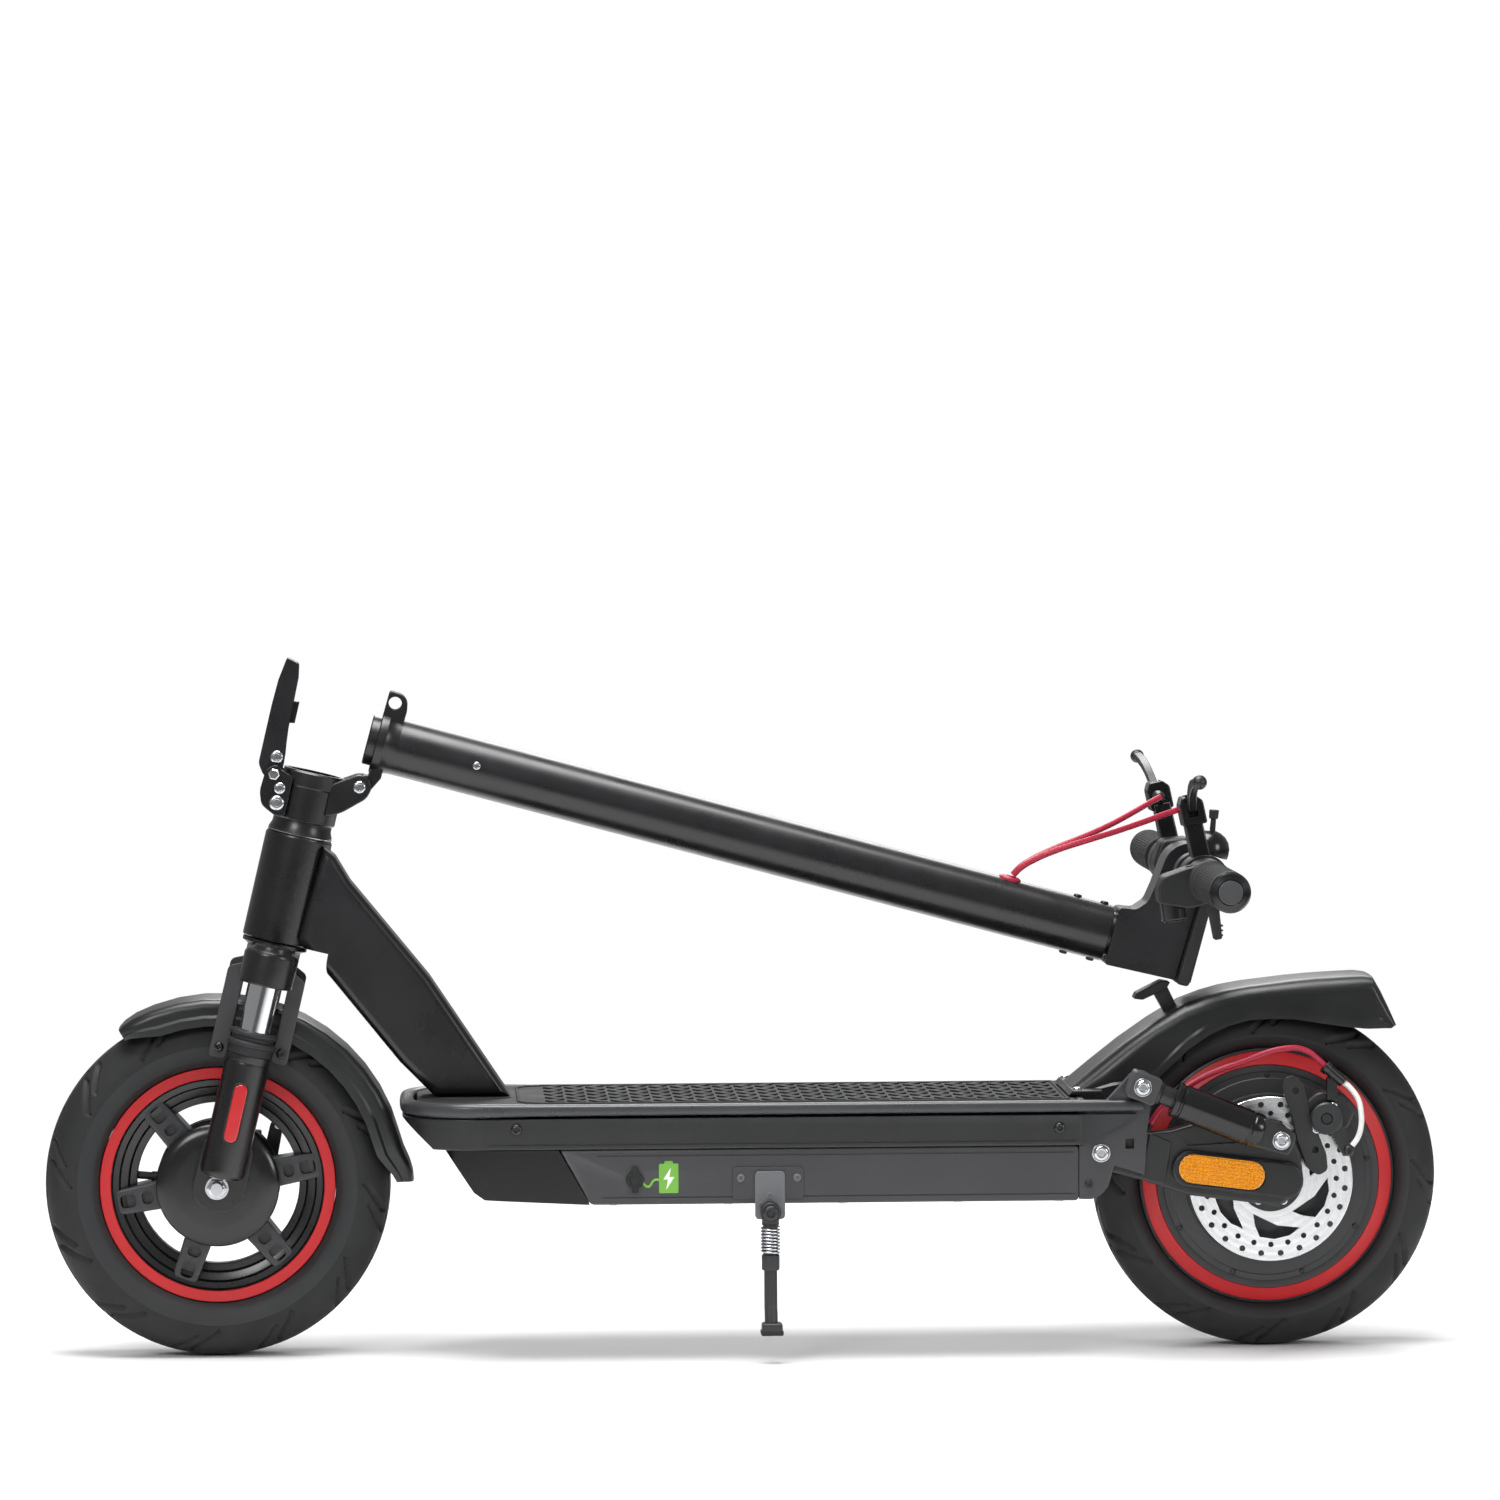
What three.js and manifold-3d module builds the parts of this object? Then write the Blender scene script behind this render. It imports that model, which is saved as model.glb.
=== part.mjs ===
// Folding electric kick scooter, stored folded: the stem lies back over the deck and
// its hinge stands open at the front. Millimetres, +Z up, travel towards -X, rider's
// left at -Y. The origin is on the ground, midway between the two axles.
import * as THREE from 'three';
import { mergeVertices } from 'three/addons/utils/BufferGeometryUtils.js';
import Module from 'manifold-3d';

const wasm = await Module();
wasm.setup();

// Wheels and their places.
const WHEEL_R = 130;
const HALF_BASE = 396;
const TYRE_HALF = 33;
const TREAD_HALF = 17;
const FACETS = 36;

// Steering axis: it passes just behind the front axle and leans back by the rake.
const RAKE = THREE.MathUtils.degToRad(13.2);
const AXIS_FOOT = [-394.5, 0, WHEEL_R];
const LEG_Y = 58;
const HEAD_R = 25.5;

// Folding joint, in the steering frame: height along the axis and distance behind it.
const PIN_T = 315;
const PIN_P = 36;
const BASE_TOP = 317.7;
const LATCH_T = 310.5;
const LATCH_P = -28.7;

// Folded stem: it slopes down towards the back, and its axis runs above the pin.
const SLOPE = THREE.MathUtils.degToRad(15.14);
const STEM_R = 21.5;
const STEM_END = 576;

// Handlebar.
const BAR_X = 339;
const BAR_Z = 361;
const BAR_HALF = 295;
const BAR_R = 11;
const GRIP_IN = 165;
const LEVER_LEAN = 12;

// Deck.
const DECK_HALF = 89;
const BASE_HALF = 85;
const DECK_TOP = 183.5;
const BAND_LOW = 160.3;
const BASE_LOW = 118.5;

// Rear suspension.
const SWING = [264.8, 154];
const SHOCK_A = [294.1, 204.7];
const SHOCK_B = [397.6, 164.0];
const SHOCK_Y = 96;
const GAP = 0.3;

const black = { color: 0x17181a, roughness: 0.38, metalness: 0.5 };
const satin = { color: 0x26272a, roughness: 0.5, metalness: 0.4 };
const grey = { color: 0x5e5f62, roughness: 0.5, metalness: 0.3 };
const plastic = { color: 0x1c1d1f, roughness: 0.6, metalness: 0 };
const rubber = { color: 0x202124, roughness: 0.9, metalness: 0 };
const steel = { color: 0xc9ccd0, roughness: 0.25, metalness: 1 };
const red = { color: 0xb3202b, roughness: 0.5, metalness: 0 };

const scooter = new THREE.Group();
const steering = new THREE.Group();
steering.position.set(...AXIS_FOOT);
steering.rotation.y = RAKE;
scooter.add(steering);

function axisPoint(t, p) {
  const x = AXIS_FOOT[0] + t * Math.sin(RAKE) + p * Math.cos(RAKE);
  const z = AXIS_FOOT[2] + t * Math.cos(RAKE) - p * Math.sin(RAKE);
  return [x, z];
}

const stem = new THREE.Group();
const pin = axisPoint(PIN_T, PIN_P);
const STEM_DIR = [Math.cos(SLOPE), -Math.sin(SLOPE)];

// A point on the folded stem's axis, in the scooter's own frame.
function stemPoint(s) {
  const x = pin[0] + PIN_P * Math.sin(SLOPE) + s * STEM_DIR[0];
  const z = pin[1] + PIN_P * Math.cos(SLOPE) + s * STEM_DIR[1];
  return [x, 0, z];
}
stem.position.set(pin[0], 0, pin[1]);
stem.rotation.y = SLOPE;
scooter.add(stem);

// A closed geometry becomes a solid once its seams are merged and its slivers dropped.
function solid(geometry) {
  const bare = geometry.clone();
  bare.deleteAttribute('normal');
  bare.deleteAttribute('uv');
  const merged = mergeVertices(bare, 1e-4);
  const source = Array.from(merged.index.array);
  const triangles = [];
  for (let i = 0; i < source.length; i += 3) {
    const [a, b, c] = source.slice(i, i + 3);
    if (a !== b && b !== c && c !== a) {
      triangles.push(a, b, c);
    }
  }
  const mesh = new wasm.Mesh({
    numProp: 3,
    vertProperties: new Float32Array(merged.attributes.position.array),
    triVerts: new Uint32Array(triangles),
  });
  return new wasm.Manifold(mesh);
}

function piece(parent, name, body, look) {
  const mesh = body.getMesh();
  const geometry = new THREE.BufferGeometry();
  geometry.setAttribute('position', new THREE.BufferAttribute(mesh.vertProperties, 3));
  geometry.setIndex(new THREE.BufferAttribute(mesh.triVerts, 1));
  geometry.computeVertexNormals();
  const item = new THREE.Mesh(geometry, new THREE.MeshStandardMaterial(look));
  item.name = name;
  parent.add(item);
}

function join(...bodies) {
  return bodies.reduce((whole, part) => whole.add(part));
}

function box(x0, x1, y0, y1, z0, z1) {
  const geometry = new THREE.BoxGeometry(x1 - x0, y1 - y0, z1 - z0);
  geometry.translate((x0 + x1) / 2, (y0 + y1) / 2, (z0 + z1) / 2);
  return solid(geometry);
}

// Round bar from point a to point b, with an end radius at each.
function rod(a, b, ra, rb = ra, sides = 14) {
  const start = new THREE.Vector3(...a);
  const way = new THREE.Vector3(...b).sub(start);
  const geometry = new THREE.CylinderGeometry(rb, ra, way.length(), sides);
  geometry.translate(0, way.length() / 2, 0);
  const up = new THREE.Vector3(0, 1, 0);
  const turn = new THREE.Quaternion().setFromUnitVectors(up, way.normalize());
  geometry.applyQuaternion(turn);
  geometry.translate(start.x, start.y, start.z);
  return solid(geometry);
}

function crossRod(x, z, y0, y1, r, sides = 14) {
  return rod([x, y0, z], [x, y1, z], r, r, sides);
}

function ball(x, y, z, r) {
  const geometry = new THREE.SphereGeometry(r, 8, 6);
  geometry.translate(x, y, z);
  return solid(geometry);
}

// Side outline in X and Z, given thickness from y0 to y1, with an optional edge bevel.
function slab(outline, y0, y1, bevel = 0) {
  const shape = new THREE.Shape(outline.map(([x, z]) => new THREE.Vector2(x, z)));
  const geometry = new THREE.ExtrudeGeometry(shape, {
    depth: y1 - y0 - 2 * bevel,
    bevelEnabled: bevel > 0,
    bevelThickness: bevel,
    bevelSize: bevel,
    bevelOffset: -bevel,
    bevelSegments: 1,
  });
  geometry.rotateX(Math.PI / 2);
  geometry.translate(0, y1 - bevel, 0);
  return solid(geometry);
}

// Outline seen from above, given height from z0 to z1.
function layer(outline, z0, z1) {
  const shape = new THREE.Shape(outline.map(([x, y]) => new THREE.Vector2(x, y)));
  const geometry = new THREE.ExtrudeGeometry(shape, { depth: z1 - z0, bevelEnabled: false });
  geometry.translate(0, 0, z0);
  return solid(geometry);
}

// Profile of radius and distance along Y, turned about a cross axle at x, z.
function turned(profile, x, z, sides = FACETS) {
  const points = profile.map(([r, y]) => new THREE.Vector2(r, y));
  const geometry = new THREE.LatheGeometry(points, sides, Math.PI / sides);
  geometry.translate(x, 0, z);
  return solid(geometry);
}

function cord(points, r, steps) {
  const path = new THREE.CatmullRomCurve3(points.map((p) => new THREE.Vector3(...p)));
  const round = new THREE.Shape();
  round.absarc(0, 0, r, 0, 2 * Math.PI);
  const geometry = new THREE.ExtrudeGeometry(round, {
    steps,
    extrudePath: path,
    curveSegments: 3,
  });
  return solid(geometry);
}

function arc(x, z, r, from, to, count) {
  const points = [];
  for (let i = 0; i <= count; i += 1) {
    const angle = THREE.MathUtils.degToRad(from + ((to - from) * i) / count);
    points.push([x + r * Math.cos(angle), z + r * Math.sin(angle)]);
  }
  return points;
}

function mirrored(body) {
  return body.mirror([0, 1, 0]);
}

// ---- Head tube and down tube -------------------------------------------------

function buildHeadTube() {
  const tube = rod([0, 0, 187], [0, 0, 270], HEAD_R, HEAD_R, 22);
  const bore = rod([0, 0, 180], [0, 0, 280], 17.5, 17.5, 16);
  const ring = rod([0, 0, 269], [0, 0, 273], HEAD_R - 1, HEAD_R - 1, 22);
  piece(steering, 'head_tube', join(tube, ring).subtract(bore), black);
}

function buildDownTube() {
  const outline = [
    [-315, 384], [-306, 376], [-295, 357.5], [-236, 285.3], [-198, 228.3], [-176, 195.3],
    [-233, 195.3], [-258.5, 221], [-311, 286], [-336, 314],
  ];
  const tube = slab(outline, -23, 23, 5);
  const low = axisPoint(150, 0);
  const high = axisPoint(330, 0);
  const seat = rod([low[0], 0, low[1]], [high[0], 0, high[1]], HEAD_R + GAP, HEAD_R + GAP, 22);
  const turning = axisPoint(187.5, 0);
  const sweep = rod([low[0], 0, low[1]], [turning[0], 0, turning[1]], 47, 47, 22);
  piece(scooter, 'down_tube', tube.subtract(seat).subtract(sweep), black);
}

// ---- Deck --------------------------------------------------------------------

// Plan of the deck, with a rounded nose, its sides at the half width given.
function deckPlan(front, rear, half, round) {
  const nose = front + round;
  const side = half - round;
  return [
    [rear, -half], [rear, half], ...arc(nose, side, round, 90, 180, 6),
    ...arc(nose, -side, round, 180, 270, 6),
  ];
}

function buildDeck() {
  const band = layer(deckPlan(-250, 250, DECK_HALF, 58), BAND_LOW, DECK_TOP);
  const slant = slab([[-262, 186], [-262, 150], [-222, 150]], -100, 100);
  const hollow = box(-150, 232, -72, 72, BAND_LOW - 1, 178);
  const tip = [[248, 160.3], [262, 165], [280, 174], [292, 183.5], [248, 183.5]];
  const left = slab(tip, -DECK_HALF, -85.3);
  const frame = join(band.subtract(slant).subtract(hollow), left, mirrored(left));
  piece(scooter, 'deck_frame', frame, satin);

  const side = [[-140, 160], [248, 160], [248, BASE_LOW], [-117, BASE_LOW]];
  const pocket = box(-108, 240, -80, 80, 122, 161);
  const port = crossRod(-84, 137, -90, -78, 5.5, 12);
  piece(scooter, 'deck_base', slab(side, -BASE_HALF, BASE_HALF, 3)
    .subtract(pocket).subtract(port), grey);

  const wedge = [[-226, 160], [-140.6, 160], [-117.6, BASE_LOW], [-204, 124], [-214, 131]];
  const plan = layer(deckPlan(-232, -110, BASE_HALF, 50), 100, 170);
  piece(scooter, 'deck_nose', slab(wedge, -BASE_HALF, BASE_HALF).intersect(plan), black);

  const outer = layer(deckPlan(-257, 296, 90.5, 60), DECK_TOP + GAP, 194.8);
  const inner = layer(deckPlan(-249, 300, 82.5, 52), DECK_TOP - 1, 196);
  const inboard = box(249.3, 300, -85.1, 85.1, 180, 200);
  const taper = slab([[262, 195], [300, 188.4], [300, 200], [262, 200]], -100, 100);
  piece(scooter, 'deck_trim', outer.subtract(inner).subtract(inboard).subtract(taper), grey);

  const mat = layer(deckPlan(-248.6, 249, 82.1, 51.6), DECK_TOP + GAP, 194.2);
  const tread = box(-172, 242.4, -82.1, 82.1, 194, 195);
  piece(scooter, 'deck_mat', mat.add(tread), rubber);
  piece(scooter, 'battery_pack', box(-100, 225, -62, 62, 123, 172), plastic);
}

function buildRearPlate(side) {
  const outline = [
    [250.3, 160.1], [248.3, 160], [248.3, 119.5], ...arc(254, 137, 18, 280, 345, 4), [274.9, 144.4],
    [297.4, 137.5], [299.7, 170.4], [304, 198], ...arc(294.1, 204.7, 11, -20, 130, 5),
    [262, 186], [250.3, 183],
  ];
  const plate = slab(outline, -84.7, -79);
  const slot = slab([[283, 157], [289.5, 157], [289.5, 164.5], [283, 164.5]], -90, -70);
  const pivot = crossRod(SWING[0], SWING[1], -80, -64, 6, 12);
  const head = crossRod(SWING[0], SWING[1], -87.5, -84, 8, 12);
  const stud = crossRod(SHOCK_A[0], SHOCK_A[1], -107, -84, 4.8, 12);
  const cap = crossRod(SHOCK_A[0], SHOCK_A[1], -110, -106.9, 8.5, 12);
  const whole = join(plate.subtract(slot), pivot, head, stud, cap);
  if (side < 0) {
    piece(scooter, 'rear_plate_left', whole, grey);
  } else {
    piece(scooter, 'rear_plate_right', mirrored(whole), grey);
  }
}

// ---- Mudguards ---------------------------------------------------------------

function buildRearMudguard() {
  const top = [
    [243, 195.3], [287.4, 231.6], [333.2, 261.6], [365, 271.5], [398, 276.3], [432.4, 279.9],
    [472.8, 281.8], [493.4, 244],
  ];
  const under = [
    [490, 242], [471.5, 241.8], [446, 244.5], [416, 249.5], [387, 250], [360, 242.5],
    [335, 227], [309, 203], [300, 195.3],
  ];
  const hull = slab([...top, ...under], -41, 41);
  const inside = [
    [485, 240], [469, 276.5], [432, 276.6], [398, 273], [365.6, 268], [334.5, 258.6],
    [289, 228.7], [262, 207], [262, 150], [485, 150],
  ];
  const hook = slab([[300.5, 268], [304, 262], [308, 245.6], [322, 253], [324.1, 273.9],
    [318, 276], [314, 268], [305, 271]], -5, 5);
  const foot = slab([[243, 195.3], [268, 195.3], [268, 203], [252.5, 203]], -60, 60);
  piece(scooter, 'rear_mudguard', join(hull.subtract(slab(inside, -37.5, 37.5)), hook, foot),
    plastic);
}

function buildFrontMudguard() {
  const x = -HALF_BASE;
  const outer = [...arc(x, WHEEL_R, 147, 0, 4, 1), ...arc(x, WHEEL_R, 141, 12, 122, 12)];
  const inner = arc(x, WHEEL_R, 120, 116, 6, 10);
  const shell = slab([...outer, ...inner], -38, 38);
  const room = [...arc(x, WHEEL_R, 144.4, -2, 4, 1), ...arc(x, WHEEL_R, 138.4, 12, 126, 12)];
  const tunnel = slab([...room, ...arc(x, WHEEL_R, 100, 126, -2, 10)], -35.4, 35.4);
  const guard = shell.subtract(tunnel);
  const cut = layer([[x + 150, 42], [x + 150, 24], [x + 128, 42]], 120, 175);
  piece(scooter, 'front_mudguard', guard.subtract(cut).subtract(cut.mirror([0, 1, 0])), plastic);
}

// ---- Fork --------------------------------------------------------------------

function buildFork() {
  const middle = [[-19, 160], [19, 160], [21, 176], [14, 183.6], [-16, 183.6], [-21, 174]];
  const bridge = slab(middle, -LEG_Y, LEG_Y);
  let crown = bridge;
  for (const y of [-LEG_Y, LEG_Y]) {
    crown = crown.add(rod([0, y, 157], [0, y, 182], 20.5, 20.5, 16));
    crown = crown.add(rod([0, y, 181], [0, y, 186.6], 15, 13, 14));
  }
  crown = crown.add(rod([0, 0, 170], [0, 0, 276.5], 16.5, 16.5, 16));
  crown = crown.add(box(-13, 13, -20, 20, 141.8, 161));
  for (const y of [-LEG_Y, LEG_Y]) {
    crown = crown.subtract(rod([0, y, 100], [0, y, 176], 12.4, 12.4, 14));
  }
  for (const y of [-40.6, 38.4]) {
    crown = crown.add(box(-30, -17, y, y + 2.2, 95, 170));
    crown = crown.add(box(17, 29, y, y + 2.2, 100, 170));
  }
  piece(steering, 'fork_crown', crown, black);

  for (const [name, y] of [['left', -LEG_Y], ['right', LEG_Y]]) {
    piece(steering, `stanchion_${name}`, rod([0, y, 62], [0, y, 175.6], 11.75, 11.75, 14), steel);
    const leg = rod([0, y, 10.5], [0, y, 112], 17, 17, 16);
    const seal = rod([0, y, 104], [0, y, 118], 18.5, 18.5, 16);
    const bore = rod([0, y, 50], [0, y, 130], 12.4, 12.4, 14);
    const inner = y < 0 ? -46.5 : 41;
    const dropout = slab([[-19, 35], [-19, -6], [-13, -15], [0, -19], [13, -15], [19, -6],
      [19, 35]], inner, inner + 5.5);
    const axle = crossRod(-1.46, -0.34, y - 30, y + 30, 6.5, 12);
    piece(steering, `fork_leg_${name}`, join(leg, seal).subtract(bore).add(dropout)
      .subtract(axle), black);
  }
}

function buildFrontWheel() {
  const x = -HALF_BASE;
  const top = WHEEL_R / Math.cos(Math.PI / FACETS);
  const tyre = [
    [89, -20], [92, -27], [104, -TYRE_HALF], [118, -29], [126.5, -22], [top, -TREAD_HALF],
    [top, TREAD_HALF], [126.5, 22], [118, 29], [104, TYRE_HALF], [92, 27], [89, 20], [89, -20],
  ];
  piece(scooter, 'front_tyre', turned(tyre, x, WHEEL_R), rubber);

  const rim = [[88.6, -23], [88.6, 23], [61, 20], [61, -20], [88.6, -23]];
  let wheel = turned(rim, x, WHEEL_R).add(crossRod(x, WHEEL_R, -24, 24, 40, 22));
  for (let k = 0; k < 6; k += 1) {
    const spoke = slab([[30, -10], [66, -10], [66, 10], [30, 10]], -17, 17);
    wheel = wheel.add(spoke.rotate([0, 49.6 + 60 * k, 0]).translate([x, 0, WHEEL_R]));
  }
  wheel = wheel.subtract(crossRod(x, WHEEL_R, -50, 50, 6.4, 12));
  piece(scooter, 'front_casting', wheel, black);

  const cover = crossRod(x, WHEEL_R, -31, -24.3, 46.5, 22)
    .subtract(crossRod(x, WHEEL_R, -40, -20, 6.4, 12));
  piece(scooter, 'front_hub_cover', cover, satin);
  const drum = crossRod(x, WHEEL_R, 24.6, 31, 46.5, 22);
  const lug = box(x + 20, x + 32, 30.5, 39, WHEEL_R + 26, WHEEL_R + 36);
  const cam = crossRod(x + 34, WHEEL_R + 4, 30.5, 39, 4.5, 12);
  piece(scooter, 'drum_plate', join(drum, lug, cam)
    .subtract(crossRod(x, WHEEL_R, 20, 40, 6.4, 12)), satin);
  const arm = slab([[x + 28, 127], [x + 34, 124.5], [x + 41, 128], [x + 49, 172], [x + 44, 175],
    [x + 39, 172]], 32, 36.5).subtract(crossRod(x + 34, WHEEL_R + 4, 30, 40, 4.9, 12));
  piece(scooter, 'front_brake_arm', arm, satin);
  const axle = crossRod(x, WHEEL_R, -57, 57, 6, 12);
  const nuts = join(crossRod(x, WHEEL_R, -53, -46.8, 8.5, 12), crossRod(x, WHEEL_R, 46.8, 53, 8.5, 12));
  const spacers = join(crossRod(x, WHEEL_R, -40.7, -31.3, 9, 12), crossRod(x, WHEEL_R, 31.3, 40.7, 9, 12));
  piece(scooter, 'front_axle', join(axle, nuts, spacers), steel);
}

// ---- Folding joint -----------------------------------------------------------

function buildFold() {
  const cup = rod([0, 0, 280], [0, 0, BASE_TOP], 25, 25, 18);
  const arm = [[15, 285], [26, 290], [44, 307], [46.5, 316], [42, 324.5], [34, 325.5], [14, 312]];
  const right = slab(arm, 12, 20);
  const lug = [[-14, 281], [-22, 280.5], [-33, 286], [-36.5, 296], [-35.5, 313], [-28.7, 318.5],
    [-22, 314], [-14, 312]];
  const ear = slab(lug, 18.8, 22.8);
  let base = join(cup, right, mirrored(right), ear, mirrored(ear));
  base = base.subtract(rod([0, 0, 309.5], [0, 0, 330], 19.6, 19.6, 16));
  base = base.subtract(rod([0, 0, 270], [0, 0, 300], 17, 17, 16));
  base = base.subtract(slab([[26, 285], [60, 285], [60, 340], [26, 340]], -12, 12));
  base = base.subtract(slab([[-60, 298], [-22.5, 298], [-22.5, 340], [-60, 340]], -18.7, 18.7));
  base = base.subtract(crossRod(PIN_P, PIN_T, -30, 30, 4.3, 12));
  base = base.add(crossRod(LATCH_P, LATCH_T, -20, -13.2, 3.6, 12));
  base = base.add(crossRod(LATCH_P, LATCH_T, 13.2, 20, 3.6, 12));
  piece(steering, 'fold_base', base, black);
  const fold = crossRod(PIN_P, PIN_T, -21, 21, 4, 12);
  const caps = join(crossRod(PIN_P, PIN_T, -22.5, -20.3, 6.5, 12),
    crossRod(PIN_P, PIN_T, 20.3, 22.5, 6.5, 12));
  piece(steering, 'fold_pin', fold.add(caps), steel);

  const plate = [[-33, 306], [-37, 308.6], [-42, 316], [-42, 361], [-41.3, 380], [-38.7, 397.6],
    [-29, 395.3], [-27, 384], [-26, 345], [-25, 334], [-24, 326], [-23.5, 318], [-24, 309]];
  const cheek = slab(plate, 14, 18);
  const web = slab([[-42, 342], [-42, 361], [-41.3, 380], [-38.7, 397.6], [-29, 395.3],
    [-34, 384], [-38, 361], [-38.5, 342]], -14.2, 14.2);
  const hook = slab([[-39, 361], [-22.8, 361], [-22.8, 350], [-26.5, 350], [-26.5, 357],
    [-39, 357]], -5, 5);
  const bolt = crossRod(-29.5, 323.4, 17.8, 20, 4.2, 12);
  const lever = join(cheek, mirrored(cheek), web, hook, bolt, mirrored(bolt))
    .subtract(crossRod(LATCH_P, LATCH_T, -30, 30, 4, 12));
  piece(steering, 'latch_lever', lever, black);
}

// ---- Stem, in its own frame: the pin at the origin, the axis PIN_P above it ----

function buildStem() {
  const c = PIN_P;
  const boss = rod([-3.3, 0, c], [3.5, 0, c], 19, 19, 16);
  const flange = rod([3.2, 0, c], [9, 0, c], 24, 24, 18);
  const neck = rod([8.5, 0, c], [20, 0, c], 24, 20, 18);
  const spigot = rod([19, 0, c], [60, 0, c], 17, 17, 14);
  const knuckle = slab([...arc(0, 0, 8, 100, 330, 8), [14, 10], [14, 20], [4, 20], [4, 10]],
    -11.6, 11.6).subtract(crossRod(0, 0, -20, 20, 4.3, 12));
  const ear = slab([[3.2, 50], [18, 50], [19.5, 66], [14, 74], [3.2, 75]], 8, 12.5)
    .subtract(crossRod(9.9, 67.5, 0, 20, 5, 12));
  const cutter = box(-20, 3.1, -40, 40, -20, 14);
  const safe = knuckle.add(flange.subtract(cutter));
  piece(stem, 'stem_flange', join(boss, safe, neck, spigot, ear, mirrored(ear)), satin);

  const tube = rod([20.3, 0, c], [STEM_END, 0, c], STEM_R, STEM_R, 22)
    .subtract(rod([0, 0, c], [700, 0, c], 17.8, 17.8, 16));
  piece(stem, 'stem_tube', tube, black);
}

function buildHandlebar() {
  const outline = [
    [285.5, 333.5], [298, 332], [307, 338], [312.5, 350], ...arc(BAR_X, BAR_Z, 21, 165, -40, 10),
    [345, 338.5], [326.6, 278.5], [273.8, 290.8],
  ];
  const casting = slab(outline, -22, 22, 4);
  const spigot = rod(stemPoint(556), stemPoint(590), 17, 17, 14);
  const head = casting.add(spigot).subtract(crossRod(BAR_X, BAR_Z, -50, 50, BAR_R + GAP, 16));
  piece(scooter, 'handlebar_head', head, black);
  piece(scooter, 'display', slab([[345.5, 338], [353.9, 335.6], [336.9, 273.8], [327.2, 276.2]],
    -34, 34, 1.5), plastic);
  piece(scooter, 'handlebar', crossRod(BAR_X, BAR_Z, 5 - BAR_HALF, BAR_HALF - 5, BAR_R, 16), black);
  for (const [name, s] of [['left', -1], ['right', 1]]) {
    const sleeve = rod([BAR_X, s * GRIP_IN, BAR_Z], [BAR_X, s * BAR_HALF, BAR_Z], 15.5, 14.5, 16);
    const hole = rod([BAR_X, s * 100, BAR_Z], [BAR_X, s * (BAR_HALF - 4.7), BAR_Z], BAR_R + GAP,
      BAR_R + GAP, 16);
    piece(scooter, `grip_${name}`, sleeve.subtract(hole), rubber);
  }
}

// The levers and their clamps are modelled upright, then turned back round the bar.
function leant(part) {
  return part.translate([-BAR_X, 0, -BAR_Z]).rotate([0, -LEVER_LEAN, 0])
    .translate([BAR_X, 0, BAR_Z]);
}

function leverMount() {
  const ring = crossRod(BAR_X, BAR_Z, -122, -100, 18, 16);
  const post = slab([[333, 372], [347, 372], [347, 407], [333, 407]], -122, -100);
  const fork = slab([[333, 405], [347, 405], [347, 422], [333, 422]], -132, -106);
  const slot = box(336.4, 343.6, -140, -112, 408.5, 430);
  const shaft = rod([335, -124, 414], [345, -124, 414], 2.6, 2.6, 12);
  const barrel = rod([338, -106, 413], [338, -89.2, 413], 4.5, 4.5, 12);
  return leant(join(ring, post, fork.subtract(slot), shaft, barrel))
    .subtract(crossRod(BAR_X, BAR_Z, -140, -60, BAR_R + GAP, 16));
}

function buildControls() {
  const dome = rod([BAR_X, -56, 372], [352, -56, 396], 15, 12, 12);
  const knob = rod([350, -56, 394], [353, -56, 404], 4, 4, 10);
  const belt = crossRod(BAR_X, BAR_Z, -64, -48, 16, 16);
  const hole = crossRod(BAR_X, BAR_Z, -160, 160, BAR_R + GAP, 16);
  const left = join(leverMount(), belt, dome, knob, box(336, 344, -101, -63, 368, 377));
  piece(scooter, 'lever_mount_left', left.subtract(hole), plastic);
  const pod = slab([[324, 344], [354, 344], [358, 366], [348, 382], [326, 380], [320, 362]],
    66, 96, 3);
  const bridge = box(332, 346, 95, 101, 366, 377);
  piece(scooter, 'lever_mount_right', join(mirrored(leverMount()), pod, bridge).subtract(hole),
    plastic);

  const blade = [[-118, 417], [-122, 410.5], [-128, 410.5], [-150, 421], [-185, 432],
    [-226, 436], [-226, 442], [-184, 439], [-148, 429], [-128, 419.5]];
  const shape = new THREE.Shape(blade.map(([y, z]) => new THREE.Vector2(y, z)));
  const geometry = new THREE.ExtrudeGeometry(shape, { depth: 6, bevelEnabled: false });
  geometry.rotateX(Math.PI / 2);
  geometry.rotateZ(Math.PI / 2);
  geometry.translate(337, 0, 0);
  const lever = leant(solid(geometry).add(ball(340, -228, 439, 5.5))
    .subtract(rod([330, -124, 414], [350, -124, 414], 2.9, 2.9, 12)));
  piece(scooter, 'brake_lever_left', lever, black);
  piece(scooter, 'brake_lever_right', mirrored(lever), black);

  const plate = slab([[301, 345], [301, 357], [304, 364.5], [322, 371], [339, 375],
    [339, 345], [324, 341]], -158, -130, 1.5);
  const motor = rod([314, -145, 331], [311.5, -145, 352], 10, 10, 16);
  const ring = crossRod(BAR_X, BAR_Z, -160, -128, 16, 16).add(plate).add(motor);
  const gap = box(322.4, 390, -151, -139, 310, 410);
  const keep = crossRod(BAR_X, BAR_Z, -160, -128, 13.4, 16);
  const shell = ring.subtract(gap.subtract(keep));
  piece(scooter, 'throttle_body', shell.subtract(hole), plastic);
  const collar = crossRod(BAR_X, BAR_Z, -150.6, -139.4, 16, 16);
  const paddle = slab([[337, 348], [346, 348], [349, 318], [343, 317]], -150.6, -139.4, 1);
  piece(scooter, 'throttle_paddle', join(collar, paddle)
    .subtract(crossRod(BAR_X, BAR_Z, -160, -130, 13.8, 16)), plastic);
}

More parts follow.
